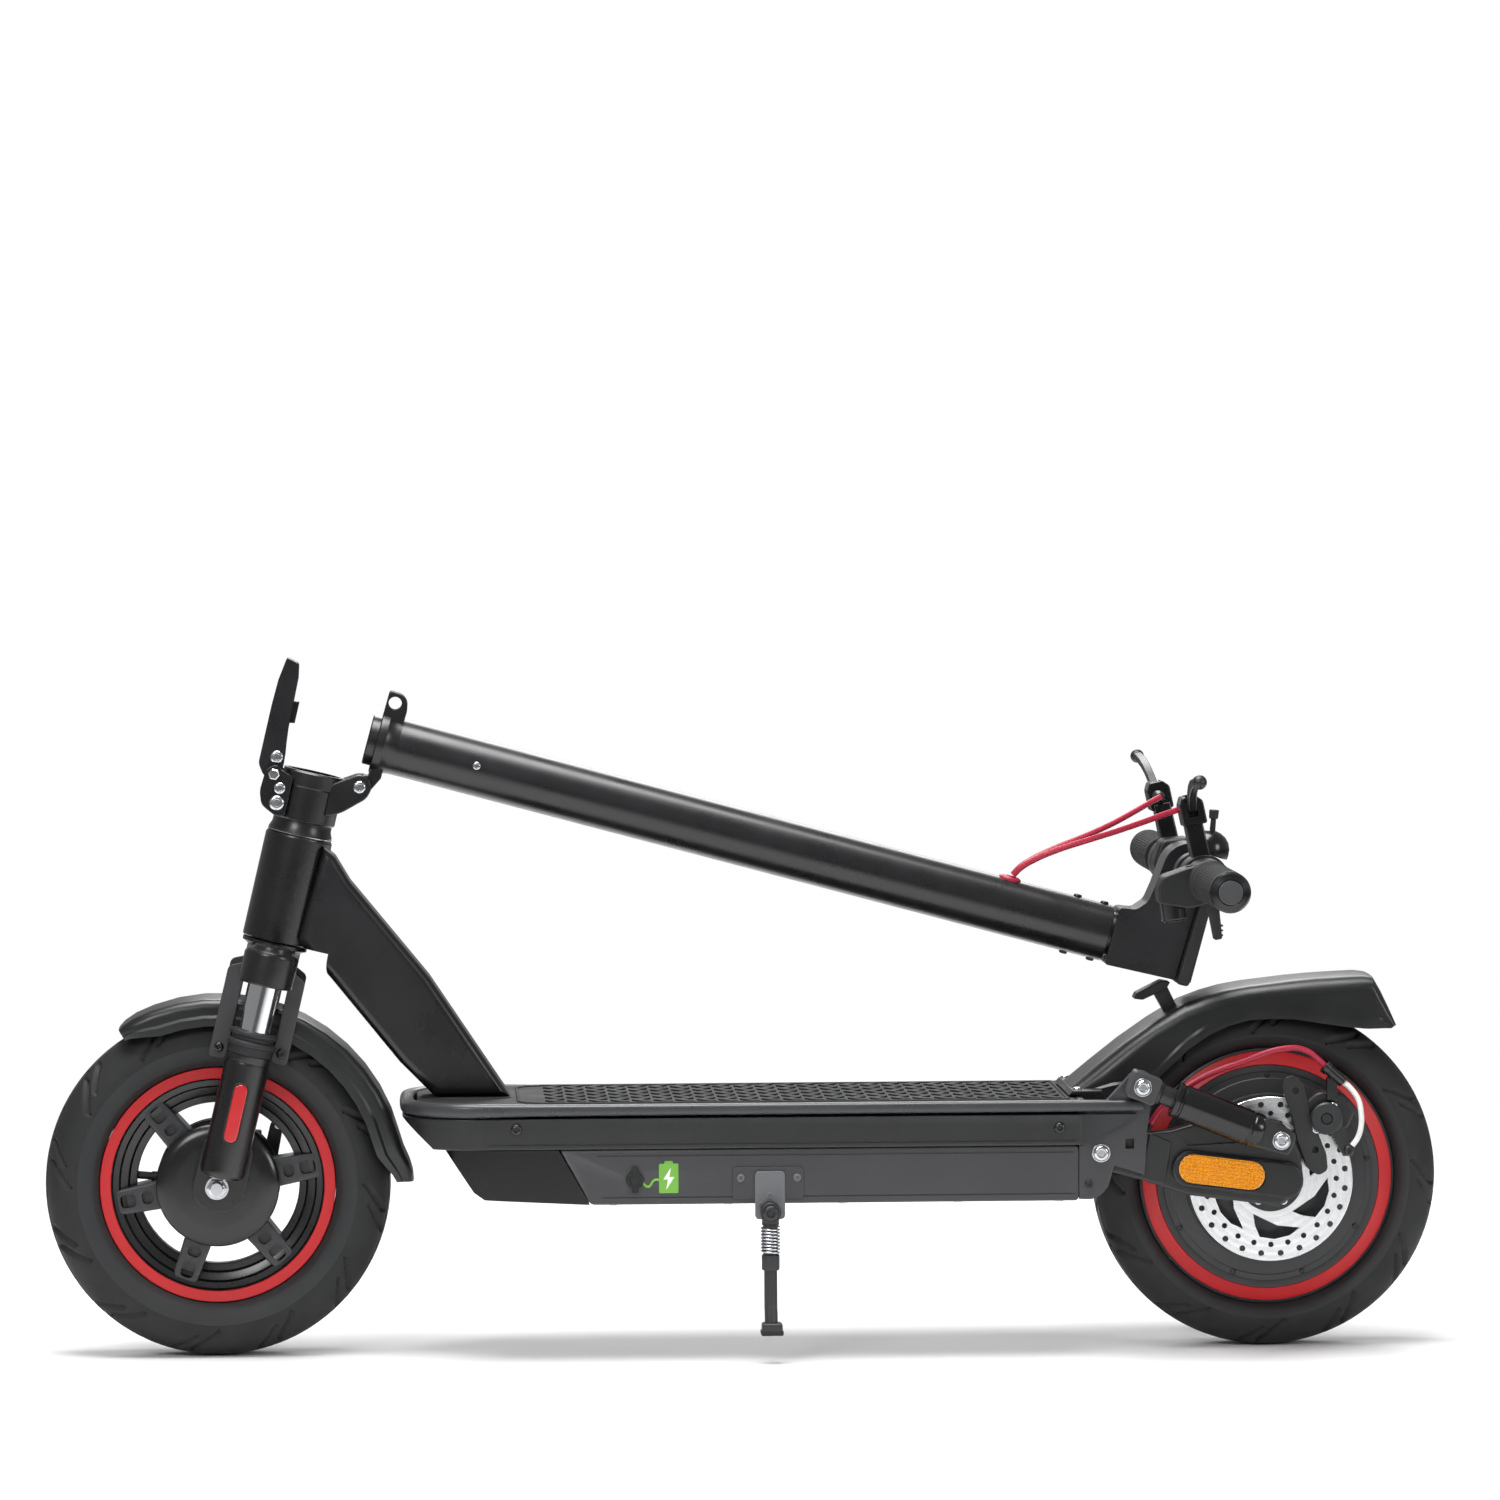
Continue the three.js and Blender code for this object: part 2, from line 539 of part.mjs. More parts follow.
function buildStemCables() {
  const left = [[206.4, -3.2, 357.8], [212, -4.6, 363.4], [223, -7.5, 370], [239, -12, 377],
    [260, -21, 384.4], [281, -36, 392], [301, -56, 400.4], [318, -75, 408], [324.6, -83, 410.8],
    [327.2, -87.5, 411.7]];
  const right = left.map(([x, y, z]) => [x, -y, z]);
  piece(scooter, 'stem_cable_left', cord(left, 2.3, 12), red);
  piece(scooter, 'stem_cable_right', cord(right, 2.3, 12), red);
}

// ---- Swingarm and rear wheel ---------------------------------------------------

function buildSwingarm() {
  const arm = [
    [252, 146], [252, 166], [276, 168.5], [302, 168.2], [318.5, 170], [340, 176], [377, 172],
    [388, 172], [393, 176], [403, 174], [409, 166], [416, 150], [418, 126], [400, 112],
    [330, 121], [296, 132.5], [262, 142],
  ];
  const left = slab(arm, -78, -62, 1.5);
  const bridge = box(252.2, 262, -63, 63, 147, 165);
  let swing = join(left, mirrored(left), bridge);
  const stud = crossRod(SHOCK_B[0], SHOCK_B[1], -107, -77, 4.8, 12)
    .add(crossRod(SHOCK_B[0], SHOCK_B[1], -110, -106.9, 8.5, 12));
  const tab = box(405, 446, -70.5, -62, 142, 163.6);
  swing = join(swing, stud, mirrored(stud), tab);
  swing = swing.subtract(crossRod(SWING[0], SWING[1], -100, 100, 6.4, 12));
  swing = swing.subtract(crossRod(HALF_BASE, WHEEL_R, -100, 100, 7.3, 12));
  piece(scooter, 'swingarm', swing, satin);
  piece(scooter, 'rear_axle', crossRod(HALF_BASE, WHEEL_R, -77, 77, 7, 12), steel);

  const cover = [
    ...arc(332, 141, 14, 70, 250, 6), ...arc(403, 132, 14, -110, 70, 6),
  ];
  const shield = slab(cover, -86, -78.3, 2);
  piece(scooter, 'reflector_left', shield, plastic);
  piece(scooter, 'reflector_right', mirrored(shield), plastic);
}

function buildRearWheel() {
  const x = HALF_BASE;
  const top = WHEEL_R / Math.cos(Math.PI / FACETS);
  const tyre = [
    [97, -22], [100, -28], [108, -TYRE_HALF], [118, -29.5], [126.5, -22], [top, -TREAD_HALF],
    [top, TREAD_HALF], [126.5, 22], [118, 29.5], [108, TYRE_HALF], [100, 28], [97, 22], [97, -22],
  ];
  piece(scooter, 'rear_tyre', turned(tyre, x, WHEEL_R), rubber);
  const motor = [
    [0, -38], [40, -38], [62, -34], [84, -31], [96.6, -24], [96.6, 24], [84, 31], [62, 34],
    [40, 38], [0, 38],
  ];
  piece(scooter, 'rear_motor', turned(motor, x, WHEEL_R)
    .subtract(crossRod(x, WHEEL_R, -60, 60, 7.3, 12)), satin);
  let disc = crossRod(x, WHEEL_R, -52.5, -50, 62, 32).add(crossRod(x, WHEEL_R, -51, -38.3, 24, 16));
  for (let k = 0; k < 6; k += 1) {
    const window = slab([[31, -7], [44, -10], [44, 8], [31, 6]], -60, -49.9);
    disc = disc.subtract(window.rotate([0, 60 * k, 0]).translate([x, 0, WHEEL_R]));
  }
  piece(scooter, 'brake_disc', disc.subtract(crossRod(x, WHEEL_R, -60, -30, 7.4, 12)), steel);

  const block = slab([[418, 164], [436, 166.6], [452, 168], [458, 182], [450, 196], [430, 197],
    [418, 188]], -68, -42, 2);
  const groove = crossRod(x, WHEEL_R, -53.6, -48.9, 64, 32);
  const adapter = box(424, 444, -70.5, -66, 164, 182).add(
    slab([[406, 207], [416, 205], [426, 190], [426, 176], [410, 190]], -70.5, -66));
  const boss = rod([436, -70, 215.5], [448, -70, 205], 4.5, 4.5, 12).add(
    box(436, 444, -72, -64, 190, 210));
  const shaft = crossRod(435.5, 177.4, -76, -67, 4, 12);
  piece(scooter, 'brake_caliper', join(block.subtract(groove), adapter, boss, shaft), satin);
  const arm = slab([[430, 171], [437, 170.5], [448, 149], [455, 149], [457, 155], [443, 180],
    [436, 184], [429, 181]], -75.5, -71.2).subtract(crossRod(435.5, 177.4, -80, -60, 4.4, 12));
  piece(scooter, 'caliper_arm', arm, satin);
  const path = [[303, -74, 174.5], [311, -74, 186], [340, -75, 208], [370, -77, 220],
    [407, -74, 230.5], [421, -71, 228], [430, -70, 221.2], [435.2, -70, 216.3]];
  piece(scooter, 'rear_cable', cord(path, 2.3, 12), red);
}

function buildShock() {
  const angle = Math.atan2(SHOCK_B[1] - SHOCK_A[1], SHOCK_B[0] - SHOCK_A[0]);
  const length = Math.hypot(SHOCK_B[1] - SHOCK_A[1], SHOCK_B[0] - SHOCK_A[0]);
  const along = (body) => body.rotate([0, -THREE.MathUtils.radToDeg(angle), 0])
    .translate([SHOCK_A[0], 0, SHOCK_A[1]]);
  for (const [name, y] of [['left', -SHOCK_Y], ['right', SHOCK_Y]]) {
    const eye = slab([[-10, -10.5], [13, -10.5], [13, 10.5], [-10, 10.5]], y - 10, y + 10, 2)
      .add(rod([12, y, 0], [68, y, 0], 8.5, 8.5, 12)).subtract(crossRod(0, 0, y - 20, y + 20, 5.2, 12));
    piece(scooter, `shock_rod_${name}`, along(eye), grey);
    const bore = rod([20, y, 0], [84, y, 0], 9, 9, 12);
    const tail = slab([[94, -12], [length + 10, -9], [length + 10, 9], [94, 12]], y - 9.5, y + 9.5, 2);
    const body = rod([26, y, 0], [96, y, 0], 13.4, 13.4, 16).subtract(bore).add(tail)
      .subtract(crossRod(length, 0, y - 20, y + 20, 5.9, 12));
    piece(scooter, `shock_body_${name}`, along(body), satin);
  }
}

// ---- Kickstand and charging port ------------------------------------------------

function buildKickstand() {
  const plate = slab([[5.5, 107], [28, 107], [28, 143], [5.5, 143]], -88.6, -85.3);
  const bolt = crossRod(16.5, 113, -104, -88, 3, 12).add(crossRod(16.5, 113, -106.4, -103.9, 5.5, 12));
  piece(scooter, 'kickstand_bracket', plate.add(bolt), satin);
  const eye = crossRod(16.5, 113, -103.6, -89, 8, 14);
  const collar = rod([16.5, -96.3, 110], [16.5, -96.3, 70], 6.8, 6.8, 12);
  const shank = rod([16.5, -96.3, 74], [16.7, -98.5, 30], 5, 5, 12);
  const foot = box(9.5, 25, -106, -91, 21.6, 31);
  piece(scooter, 'kickstand_leg', join(eye, collar, shank, foot)
    .subtract(crossRod(16.5, 113, -110, -80, 3.3, 12)), satin);
  const lid = crossRod(-84, 137, -88.4, -85.3, 8.5, 14).add(
    box(-88, -80, -88.4, -85.3, 137, 146.4));
  piece(scooter, 'port_cap', lid, rubber);
}

buildHeadTube();
buildDownTube();
buildDeck();
buildRearPlate(-1);
buildRearPlate(1);
buildRearMudguard();
buildFrontMudguard();
buildFork();
buildFrontWheel();
buildFold();
buildStem();
buildHandlebar();
buildControls();
buildStemCables();
buildSwingarm();
buildRearWheel();
buildShock();
buildKickstand();

export default scooter;
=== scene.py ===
from math import atan2, cos, hypot, pi, radians, sin

import bmesh
import bpy
import numpy as np
from mathutils import Matrix, Vector


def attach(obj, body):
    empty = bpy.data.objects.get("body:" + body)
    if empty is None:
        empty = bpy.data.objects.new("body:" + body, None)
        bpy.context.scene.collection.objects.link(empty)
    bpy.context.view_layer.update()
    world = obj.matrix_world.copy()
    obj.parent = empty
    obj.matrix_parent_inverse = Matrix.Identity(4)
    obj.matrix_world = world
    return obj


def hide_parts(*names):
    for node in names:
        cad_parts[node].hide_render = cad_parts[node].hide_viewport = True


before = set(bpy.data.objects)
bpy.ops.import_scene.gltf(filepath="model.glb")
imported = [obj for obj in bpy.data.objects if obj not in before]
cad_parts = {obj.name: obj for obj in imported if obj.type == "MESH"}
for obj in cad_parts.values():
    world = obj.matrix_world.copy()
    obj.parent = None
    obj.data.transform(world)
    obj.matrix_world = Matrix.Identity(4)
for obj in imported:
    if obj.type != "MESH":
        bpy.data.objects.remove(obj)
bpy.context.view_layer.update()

# ---- Camera ----------------------------------------------------------------------
# A long lens at eye height, looking across at the scooter's left side, turned a
# little towards the back wheel and tipped slightly down.
eye = Vector((-242.92, -5454.47, 680.28)) / 1000
yaw, pitch, roll = radians(2.6268), radians(2.3756), radians(-0.2710)
ahead = Vector((sin(yaw) * cos(pitch), cos(yaw) * cos(pitch), -sin(pitch)))
level = Vector((cos(yaw), -sin(yaw), 0))
upright = level.cross(ahead)
sideways = cos(roll) * level + sin(roll) * upright
top_way = cos(roll) * upright - sin(roll) * level
camera = bpy.data.objects.new("camera", bpy.data.cameras.new("camera"))
camera.data.lens = 173.49
camera.data.sensor_width = 36
camera.data.clip_end = 60
camera.matrix_world = Matrix.Translation(eye) @ Matrix(
    (sideways, top_way, -ahead)).transposed().to_4x4()
bpy.context.collection.objects.link(camera)
bpy.context.scene.camera = camera

# ---- Studio ----------------------------------------------------------------------
# A pale painted floor that runs out of sight, a white room, a large soft lamp
# over the scooter, one on the camera's side and a weak one behind.


def linear(hexa):
    """sRGB hex, such as 0x1c1d1f, to linear colour with alpha 1."""
    parts = [((hexa >> shift) & 255) / 255 for shift in (16, 8, 0)]
    return [p / 12.92 if p <= 0.04045 else ((p + 0.055) / 1.055) ** 2.4 for p in parts] + [1]


def add(tree, kind, settings=None, inputs=None):
    """A node with its settings, and its inputs set or linked."""
    node = tree.nodes.new(kind)
    for key, value in (settings or {}).items():
        setattr(node, key, value)
    for key, value in (inputs or {}).items():
        if isinstance(value, bpy.types.NodeSocket):
            tree.links.new(value, node.inputs[key])
        else:
            node.inputs[key].default_value = value
    return node


floor_mesh = bpy.data.meshes.new("floor")
floor_form = bmesh.new()
bmesh.ops.create_grid(floor_form, x_segments=1, y_segments=1, size=25)
floor_form.to_mesh(floor_mesh)
floor_form.free()
floor = bpy.data.objects.new("floor", floor_mesh)
bpy.context.collection.objects.link(floor)
paint = bpy.data.materials.new("matt_floor_paint")
paint.use_nodes = True
tree = paint.node_tree
matt = tree.nodes["Principled BSDF"]
matt.inputs["Base Color"].default_value = linear(0xf4f4f4)
matt.inputs["Roughness"].default_value = 0.8
# The floor fades into the lit room about three metres out, so no horizon shows.
reach = add(tree, "ShaderNodeVectorMath", {"operation": "LENGTH"}, {
    0: add(tree, "ShaderNodeTexCoord").outputs["Object"]}).outputs["Value"]
fade = add(tree, "ShaderNodeMapRange", {"interpolation_type": "SMOOTHSTEP"}, {
    "Value": reach, "From Min": 0.7, "From Max": 2.6}).outputs["Result"]
seen = add(tree, "ShaderNodeLightPath").outputs["Is Camera Ray"]
power = add(tree, "ShaderNodeMapRange", {}, {"Value": seen, "To Min": 0.12, "To Max": 1.0})
glow = add(tree, "ShaderNodeEmission", {}, {
    "Color": linear(0xffffff), "Strength": power.outputs["Result"]})
blend = add(tree, "ShaderNodeMixShader", {}, {
    0: fade, 1: matt.outputs[0], 2: glow.outputs[0]})
tree.links.new(blend.outputs[0], tree.nodes["Material Output"].inputs["Surface"])
floor_mesh.materials.append(paint)

# The room looks white but lights the scooter softly, so that dark paint stays dark.
world = bpy.data.worlds.new("white_room")
world.use_nodes = True
tree = world.node_tree
seen = add(tree, "ShaderNodeLightPath").outputs["Is Camera Ray"]
power = add(tree, "ShaderNodeMapRange", {}, {"Value": seen, "To Min": 0.3, "To Max": 1.0})
tree.nodes["Background"].inputs["Color"].default_value = linear(0xffffff)
tree.links.new(power.outputs["Result"], tree.nodes["Background"].inputs["Strength"])
bpy.context.scene.world = world
bpy.context.scene.view_settings.view_transform = "Standard"

for lamp_name, place, aim, size, watts in (
        ("lamp_over", (-0.2, -0.3, 2.6), (0, 0, 0.2), 1.7, 95),
        ("lamp_near", (-1.6, -3.2, 2.2), (0, 0, 0.25), 1.2, 45),
        ("lamp_right", (2.8, -2.2, 1.2), (0.2, 0, 0.2), 1.0, 22),
        ("lamp_behind", (0.2, 3.0, 2.2), (0, 0, 0.3), 1.8, 45)):
    lamp = bpy.data.lights.new(lamp_name, "AREA")
    lamp.size = size
    lamp.energy = watts
    holder = bpy.data.objects.new(lamp_name, lamp)
    holder.location = place
    holder.rotation_euler = (Vector(aim) - Vector(place)).to_track_quat("-Z", "Y").to_euler()
    bpy.context.collection.objects.link(holder)

# ---- Steering head and down tube -------------------------------------------------
# Aluminium tubes, welded: the head holds the steering bearings, and the flat-sided
# down tube is welded to its back and to a foot on the deck. Powder coated black.
RAKE = radians(13.2)
WHEEL_R = 130
HALF_BASE = 396
STEER = Matrix.Translation((-394.5, 0, WHEEL_R)) @ Matrix.Rotation(RAKE, 4, "Y")


def coating(name, colour, other, rough, grain, depth, metal=0.0, coat=0.0, patch=45.0,
            spread=0.06, worn=None):
    """A coated or moulded surface: grain in mm sets the fine relief, patch in mm sets the
    slow drift of colour and gloss, and worn is the colour where edges are rubbed."""
    look = bpy.data.materials.new(name)
    look.use_nodes = True
    tree = look.node_tree
    shader = tree.nodes["Principled BSDF"]
    place = add(tree, "ShaderNodeTexCoord").outputs["Object"]
    drift = add(tree, "ShaderNodeTexNoise", {}, {
        "Vector": place, "Scale": 1000 / patch, "Detail": 4.0, "Roughness": 0.6}).outputs["Fac"]
    fine = add(tree, "ShaderNodeTexNoise", {}, {
        "Vector": place, "Scale": 1000 / grain, "Detail": 3.0,
        "Roughness": 0.55}).outputs["Fac"]
    tint = add(tree, "ShaderNodeMix", {"data_type": "RGBA"}, {
        0: drift, 6: linear(colour), 7: linear(other)}).outputs[2]
    if worn is not None:
        edge = add(tree, "ShaderNodeMapRange", {}, {
            "Value": add(tree, "ShaderNodeNewGeometry").outputs["Pointiness"],
            "From Min": 0.535, "From Max": 0.62}).outputs["Result"]
        rubbed = add(tree, "ShaderNodeMath", {"operation": "MULTIPLY"}, {
            0: edge, 1: drift}).outputs[0]
        tint = add(tree, "ShaderNodeMix", {"data_type": "RGBA"}, {
            0: rubbed, 6: tint, 7: linear(worn)}).outputs[2]
    gloss = add(tree, "ShaderNodeMapRange", {}, {
        "Value": drift, "From Min": 0.3, "From Max": 0.7,
        "To Min": rough - spread, "To Max": rough + spread}).outputs["Result"]
    relief = add(tree, "ShaderNodeBump", {}, {
        "Height": fine, "Strength": 0.5, "Distance": depth / 1000}).outputs["Normal"]
    tree.links.new(tint, shader.inputs["Base Color"])
    tree.links.new(gloss, shader.inputs["Roughness"])
    tree.links.new(relief, shader.inputs["Normal"])
    shader.inputs["Metallic"].default_value = metal
    shader.inputs["Coat Weight"].default_value = coat
    shader.inputs["Coat Roughness"].default_value = 0.25
    return look


# Powder coat, satin black: a dielectric film with a fine orange peel about 1.4 mm across,
# rubbed a little grey along its edges.
black_paint = coating("powder_coated_aluminium_black", 0x08080a, 0x0c0c0e, 0.3, 1.4, 0.03,
                      coat=0.3, worn=0x1a1b1e)
# Ground and nickel-plated steel: bright, with a gloss that drifts a little.
bright_steel = coating("nickel_plated_steel", 0xc4c7cb, 0xd6d8db, 0.2, 0.8, 0.01, metal=1.0,
                       patch=12.0, spread=0.05)


def round_off(part, edges, width, segments=3, clamp=True):
    """Rounds some of a shape's edges."""
    bmesh.ops.bevel(part, geom=edges, offset=width, offset_type="OFFSET", affect="EDGES",
                    segments=segments, profile=0.5, clamp_overlap=clamp, material=-1)


def slab(outline, low, high, edge=0.0, corner=0.0, flat=False, segments=3):
    """A plate cut to a side outline (x, z) and as thick as low to high in y, or with flat
    to an outline seen from above (x, y) and as high as low to high in z."""
    part = bmesh.new()
    rim = [part.verts.new((a, b, low) if flat else (a, low, b)) for a, b in outline]
    face = part.faces.new(rim)
    grown = bmesh.ops.extrude_face_region(part, geom=[face])
    moved = [item for item in grown["geom"] if isinstance(item, bmesh.types.BMVert)]
    way = Vector((0, 0, 1)) if flat else Vector((0, 1, 0))
    bmesh.ops.translate(part, vec=way * (high - low), verts=moved)
    bmesh.ops.recalc_face_normals(part, faces=part.faces)
    if corner:
        posts = [e for e in part.edges
                 if abs((e.verts[1].co - e.verts[0].co).normalized().dot(way)) > 0.99
                 and e.calc_face_angle(0) > radians(12)]
        round_off(part, posts, corner, 4)
    if edge:
        rims = [e for e in part.edges
                if e.calc_face_angle(0) > radians(60)
                and abs((e.verts[1].co - e.verts[0].co).normalized().dot(way)) < 0.01]
        round_off(part, rims, edge, segments)
    return part


def block(x0, x1, y0, y1, z0, z1, edge=0.0):
    """A block between two corners with its edges rounded."""
    part = slab([(x0, z0), (x1, z0), (x1, z1), (x0, z1)], y0, y1)
    if edge:
        round_off(part, part.edges[:], edge)
    return part


def turned(profile, at=(0, 0, 0), axis="Y", sides=64, closed=True):
    """A profile of (radius, distance along the axis) turned about the axis through at."""
    part = bmesh.new()
    points = [part.verts.new((r, along, 0)) for r, along in profile]
    links = [part.edges.new(pair) for pair in zip(points, points[1:])]
    if closed and min(profile[0][0], profile[-1][0]) > 1e-6:
        links.append(part.edges.new((points[-1], points[0])))
    bmesh.ops.spin(part, geom=points + links, axis=(0, 1, 0), cent=(0, 0, 0),
                   angle=2 * pi, steps=sides, use_merge=True)
    bmesh.ops.remove_doubles(part, verts=part.verts, dist=1e-4)
    bmesh.ops.recalc_face_normals(part, faces=part.faces)
    turn = {"Y": Matrix(), "Z": Matrix.Rotation(pi / 2, 4, "X"),
            "X": Matrix.Rotation(-pi / 2, 4, "Z")}[axis]
    bmesh.ops.transform(part, matrix=Matrix.Translation(at) @ turn, verts=part.verts)
    return part


def bar(a, b, r, end=None, edge=0.0, sides=40):
    """A round bar from a to b, with its end rims rounded."""
    way = Vector(b) - Vector(a)
    part = bmesh.new()
    bmesh.ops.create_cone(part, cap_ends=True, segments=sides, radius1=r,
                          radius2=r if end is None else end, depth=way.length)
    if edge:
        rims = [e for e in part.edges if abs(e.calc_face_angle(0)) > radians(50)]
        round_off(part, rims, edge, clamp=False)
    turn = Vector((0, 0, 1)).rotation_difference(way.normalized()).to_matrix().to_4x4()
    middle = (Vector(a) + Vector(b)) / 2
    bmesh.ops.transform(part, matrix=Matrix.Translation(middle) @ turn, verts=part.verts)
    return part


def across(x, z, low, high, r, edge=0.0, sides=40):
    """A round bar across the scooter at (x, z), from low to high in y."""
    return bar((x, low, z), (x, high, z), r, edge=edge, sides=sides)


def mesh_of(part):
    """A shape as a mesh; the shape itself is used up."""
    held = bpy.data.meshes.new("held")
    part.to_mesh(held)
    part.free()
    return held


def together(*parts):
    """Several shapes in one."""
    whole = bmesh.new()
    for part in parts:
        held = mesh_of(part)
        whole.from_mesh(held)
        bpy.data.meshes.remove(held)
    return whole


def evaluated(thing):
    """The mesh that an object's modifiers or curve settings give."""
    bpy.context.view_layer.update()
    made = bpy.data.meshes.new_from_object(
        thing.evaluated_get(bpy.context.evaluated_depsgraph_get()))
    whole = bmesh.new()
    whole.from_mesh(made)
    bpy.data.meshes.remove(made)
    return whole


def cut(part, *tools, keep=False):
    """Takes the tools out of a shape, or with keep leaves only what is inside them."""
    work = bpy.data.objects.new("work", mesh_of(part))
    things = [work]
    bpy.context.collection.objects.link(work)
    for shape in tools:
        tool = bpy.data.objects.new("tool", mesh_of(shape))
        bpy.context.collection.objects.link(tool)
        things.append(tool)
        bite = work.modifiers.new("bite", "BOOLEAN")
        bite.operation = "INTERSECT" if keep else "DIFFERENCE"
        bite.solver = "EXACT"
        bite.object = tool
    made = evaluated(work)
    for thing in things:
        held = thing.data
        bpy.data.objects.remove(thing)
        bpy.data.meshes.remove(held)
    return made


def moved(part, matrix, copy=False):
    """A shape put somewhere else; with copy the first one stays."""
    part = part.copy() if copy else part
    bmesh.ops.transform(part, matrix=matrix, verts=part.verts)
    if matrix.determinant() < 0:
        bmesh.ops.reverse_faces(part, faces=part.faces)
    return part


MIRROR = Matrix.Scale(-1, 4, (0, 1, 0))


def both(part):
    """A shape on the left with its mirror image on the right."""
    return together(moved(part, MIRROR, copy=True), part)


def piece(name, body, parts, stands_for=(), place=None, edge=0.0, smooth=32):
    """Joins (shape, material) pairs into one finished object, in metres, on a body."""
    looks = list(dict.fromkeys(look for _, look in parts))
    whole = bmesh.new()
    for part, look in parts:
        for face in part.faces:
            face.material_index = looks.index(look)
            face.smooth = True
        held = mesh_of(part)
        whole.from_mesh(held)
        bpy.data.meshes.remove(held)
    size = Matrix.Scale(0.001, 4)
    bmesh.ops.transform(whole, matrix=size @ place if place else size, verts=whole.verts)
    mesh = bpy.data.meshes.new(name)
    whole.to_mesh(mesh)
    whole.free()
    for look in looks:
        mesh.materials.append(look)
    mesh.set_sharp_from_angle(angle=radians(smooth))
    made = bpy.data.objects.new(name, mesh)
    bpy.context.collection.objects.link(made)
    if edge:
        rounding = made.modifiers.new("rounding", "BEVEL")
        rounding.width = edge / 1000
        rounding.segments = 2
        rounding.limit_method = "ANGLE"
        rounding.angle_limit = radians(30)
        rounding.miter_outer = "MITER_ARC"
    weigh = made.modifiers.new("weigh", "WEIGHTED_NORMAL")
    weigh.keep_sharp = True
    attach(made, body)
    if stands_for:
        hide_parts(*stands_for)
    return made


def bolt(at, way, r, high, socket=0.5):
    """A button-head bolt with a round-bottomed key socket, seated at a point."""
    profile = [(0, high * 0.35), (r * socket * 0.9, high * 0.35), (r * socket, high * 0.5),
               (r * socket, high * 0.94), (r * (socket + 0.12), high), (r * 0.78, high * 0.93),
               (r * 0.93, high * 0.72), (r, high * 0.42), (r, 0), (0, 0)]
    turn = Vector((0, 1, 0)).rotation_difference(Vector(way).normalized())
    return moved(turned(profile, sides=24),
                 Matrix.Translation(at) @ turn.to_matrix().to_4x4())


head_shell = turned([
    (17.6, 187.2), (24.4, 187.2), (25.4, 188.2), (25.4, 266.6), (24.8, 268.2), (23.8, 268.9),
    (17.6, 268.9)], axis="Z", sides=96)
head_ring = turned([
    (17.6, 269.1), (24.2, 269.1), (24.7, 269.5), (24.7, 270.1), (24.2, 270.4), (17.6, 270.4)],
    axis="Z", sides=96)
bearing_cone = turned([
    (17.2, 270.6), (24, 270.6), (24.4, 271.2), (22.6, 275.6), (22.4, 279.7), (17.2, 279.7)],
    axis="Z", sides=96)
piece("steering_head", "frame",
      [(head_shell, black_paint), (head_ring, bright_steel), (bearing_cone, black_paint)],
      ["head_tube"], STEER)

DOWN_TUBE = [(-315, 384), (-306, 376), (-295, 357.5), (-236, 285.3), (-198, 228.3),
             (-176, 195.3), (-233, 195.3), (-258.5, 221), (-311, 286), (-336, 314)]
down = cut(slab(DOWN_TUBE, -23, 23, 13, segments=8),
           moved(bar((0, 0, 150), (0, 0, 335), 25.6, sides=96), STEER),
           moved(bar((0, 0, 150), (0, 0, 187.5), 47, sides=64), STEER))
piece("down_tube_shell", "frame", [(down, black_paint)], ["down_tube"])

# ---- Deck ------------------------------------------------------------------------
# A cast and extruded aluminium box for the battery: a dark upper band, a grey lower
# tray and a black moulded nose, screwed together, with a soft edge strip round the top.
DECK_TOP = 183.5
# Die casting under a dark grey satin coat.
dark_casting = coating("coated_die_cast_aluminium", 0x18191a, 0x1e1f20, 0.4, 0.9, 0.05,
                       coat=0.15, worn=0x37383b)
# Extruded aluminium, mid-grey coat with a slight metal flake.
grey_paint = coating("coated_extruded_aluminium_grey", 0x39393b, 0x404042, 0.42, 0.7, 0.03,
                     metal=0.1, worn=0x5a5b5e)
# Moulded ABS with a spark-eroded texture, about half a millimetre.
black_plastic = coating("moulded_abs_black", 0x111213, 0x16171a, 0.5, 0.5, 0.05,
                        worn=0x26272a)
# Thermoplastic rubber, dark grey: smooth, with a soft sheen.
edge_rubber = coating("thermoplastic_rubber_dark", 0x343537, 0x3d3e40, 0.3, 0.6, 0.02)
# Moulded rubber with a fine grain: dull.
mat_rubber = coating("moulded_rubber_black", 0x121314, 0x1a1b1c, 0.72, 0.6, 0.08, patch=30.0)
# Screen-printed enamel inks, flat and slightly glossy.
green_ink = coating("printed_ink_green", 0x6aa83c, 0x73b045, 0.45, 0.4, 0.01)
white_ink = coating("printed_ink_white", 0xe6e8e6, 0xeef0ee, 0.45, 0.4, 0.01)


def arc(x, z, r, start, end, count):
    """Points on an arc, with its angles in degrees."""
    turns = [radians(start + (end - start) * k / count) for k in range(count + 1)]
    return [(x + r * cos(a), z + r * sin(a)) for a in turns]


def deck_plan(front, rear, half, round_r, steps=16):
    """The deck seen from above, with a rounded nose."""
    return ([(rear, -half), (rear, half)]
            + arc(front + round_r, half - round_r, round_r, 90, 180, steps)
            + arc(front + round_r, round_r - half, round_r, 180, 270, steps))


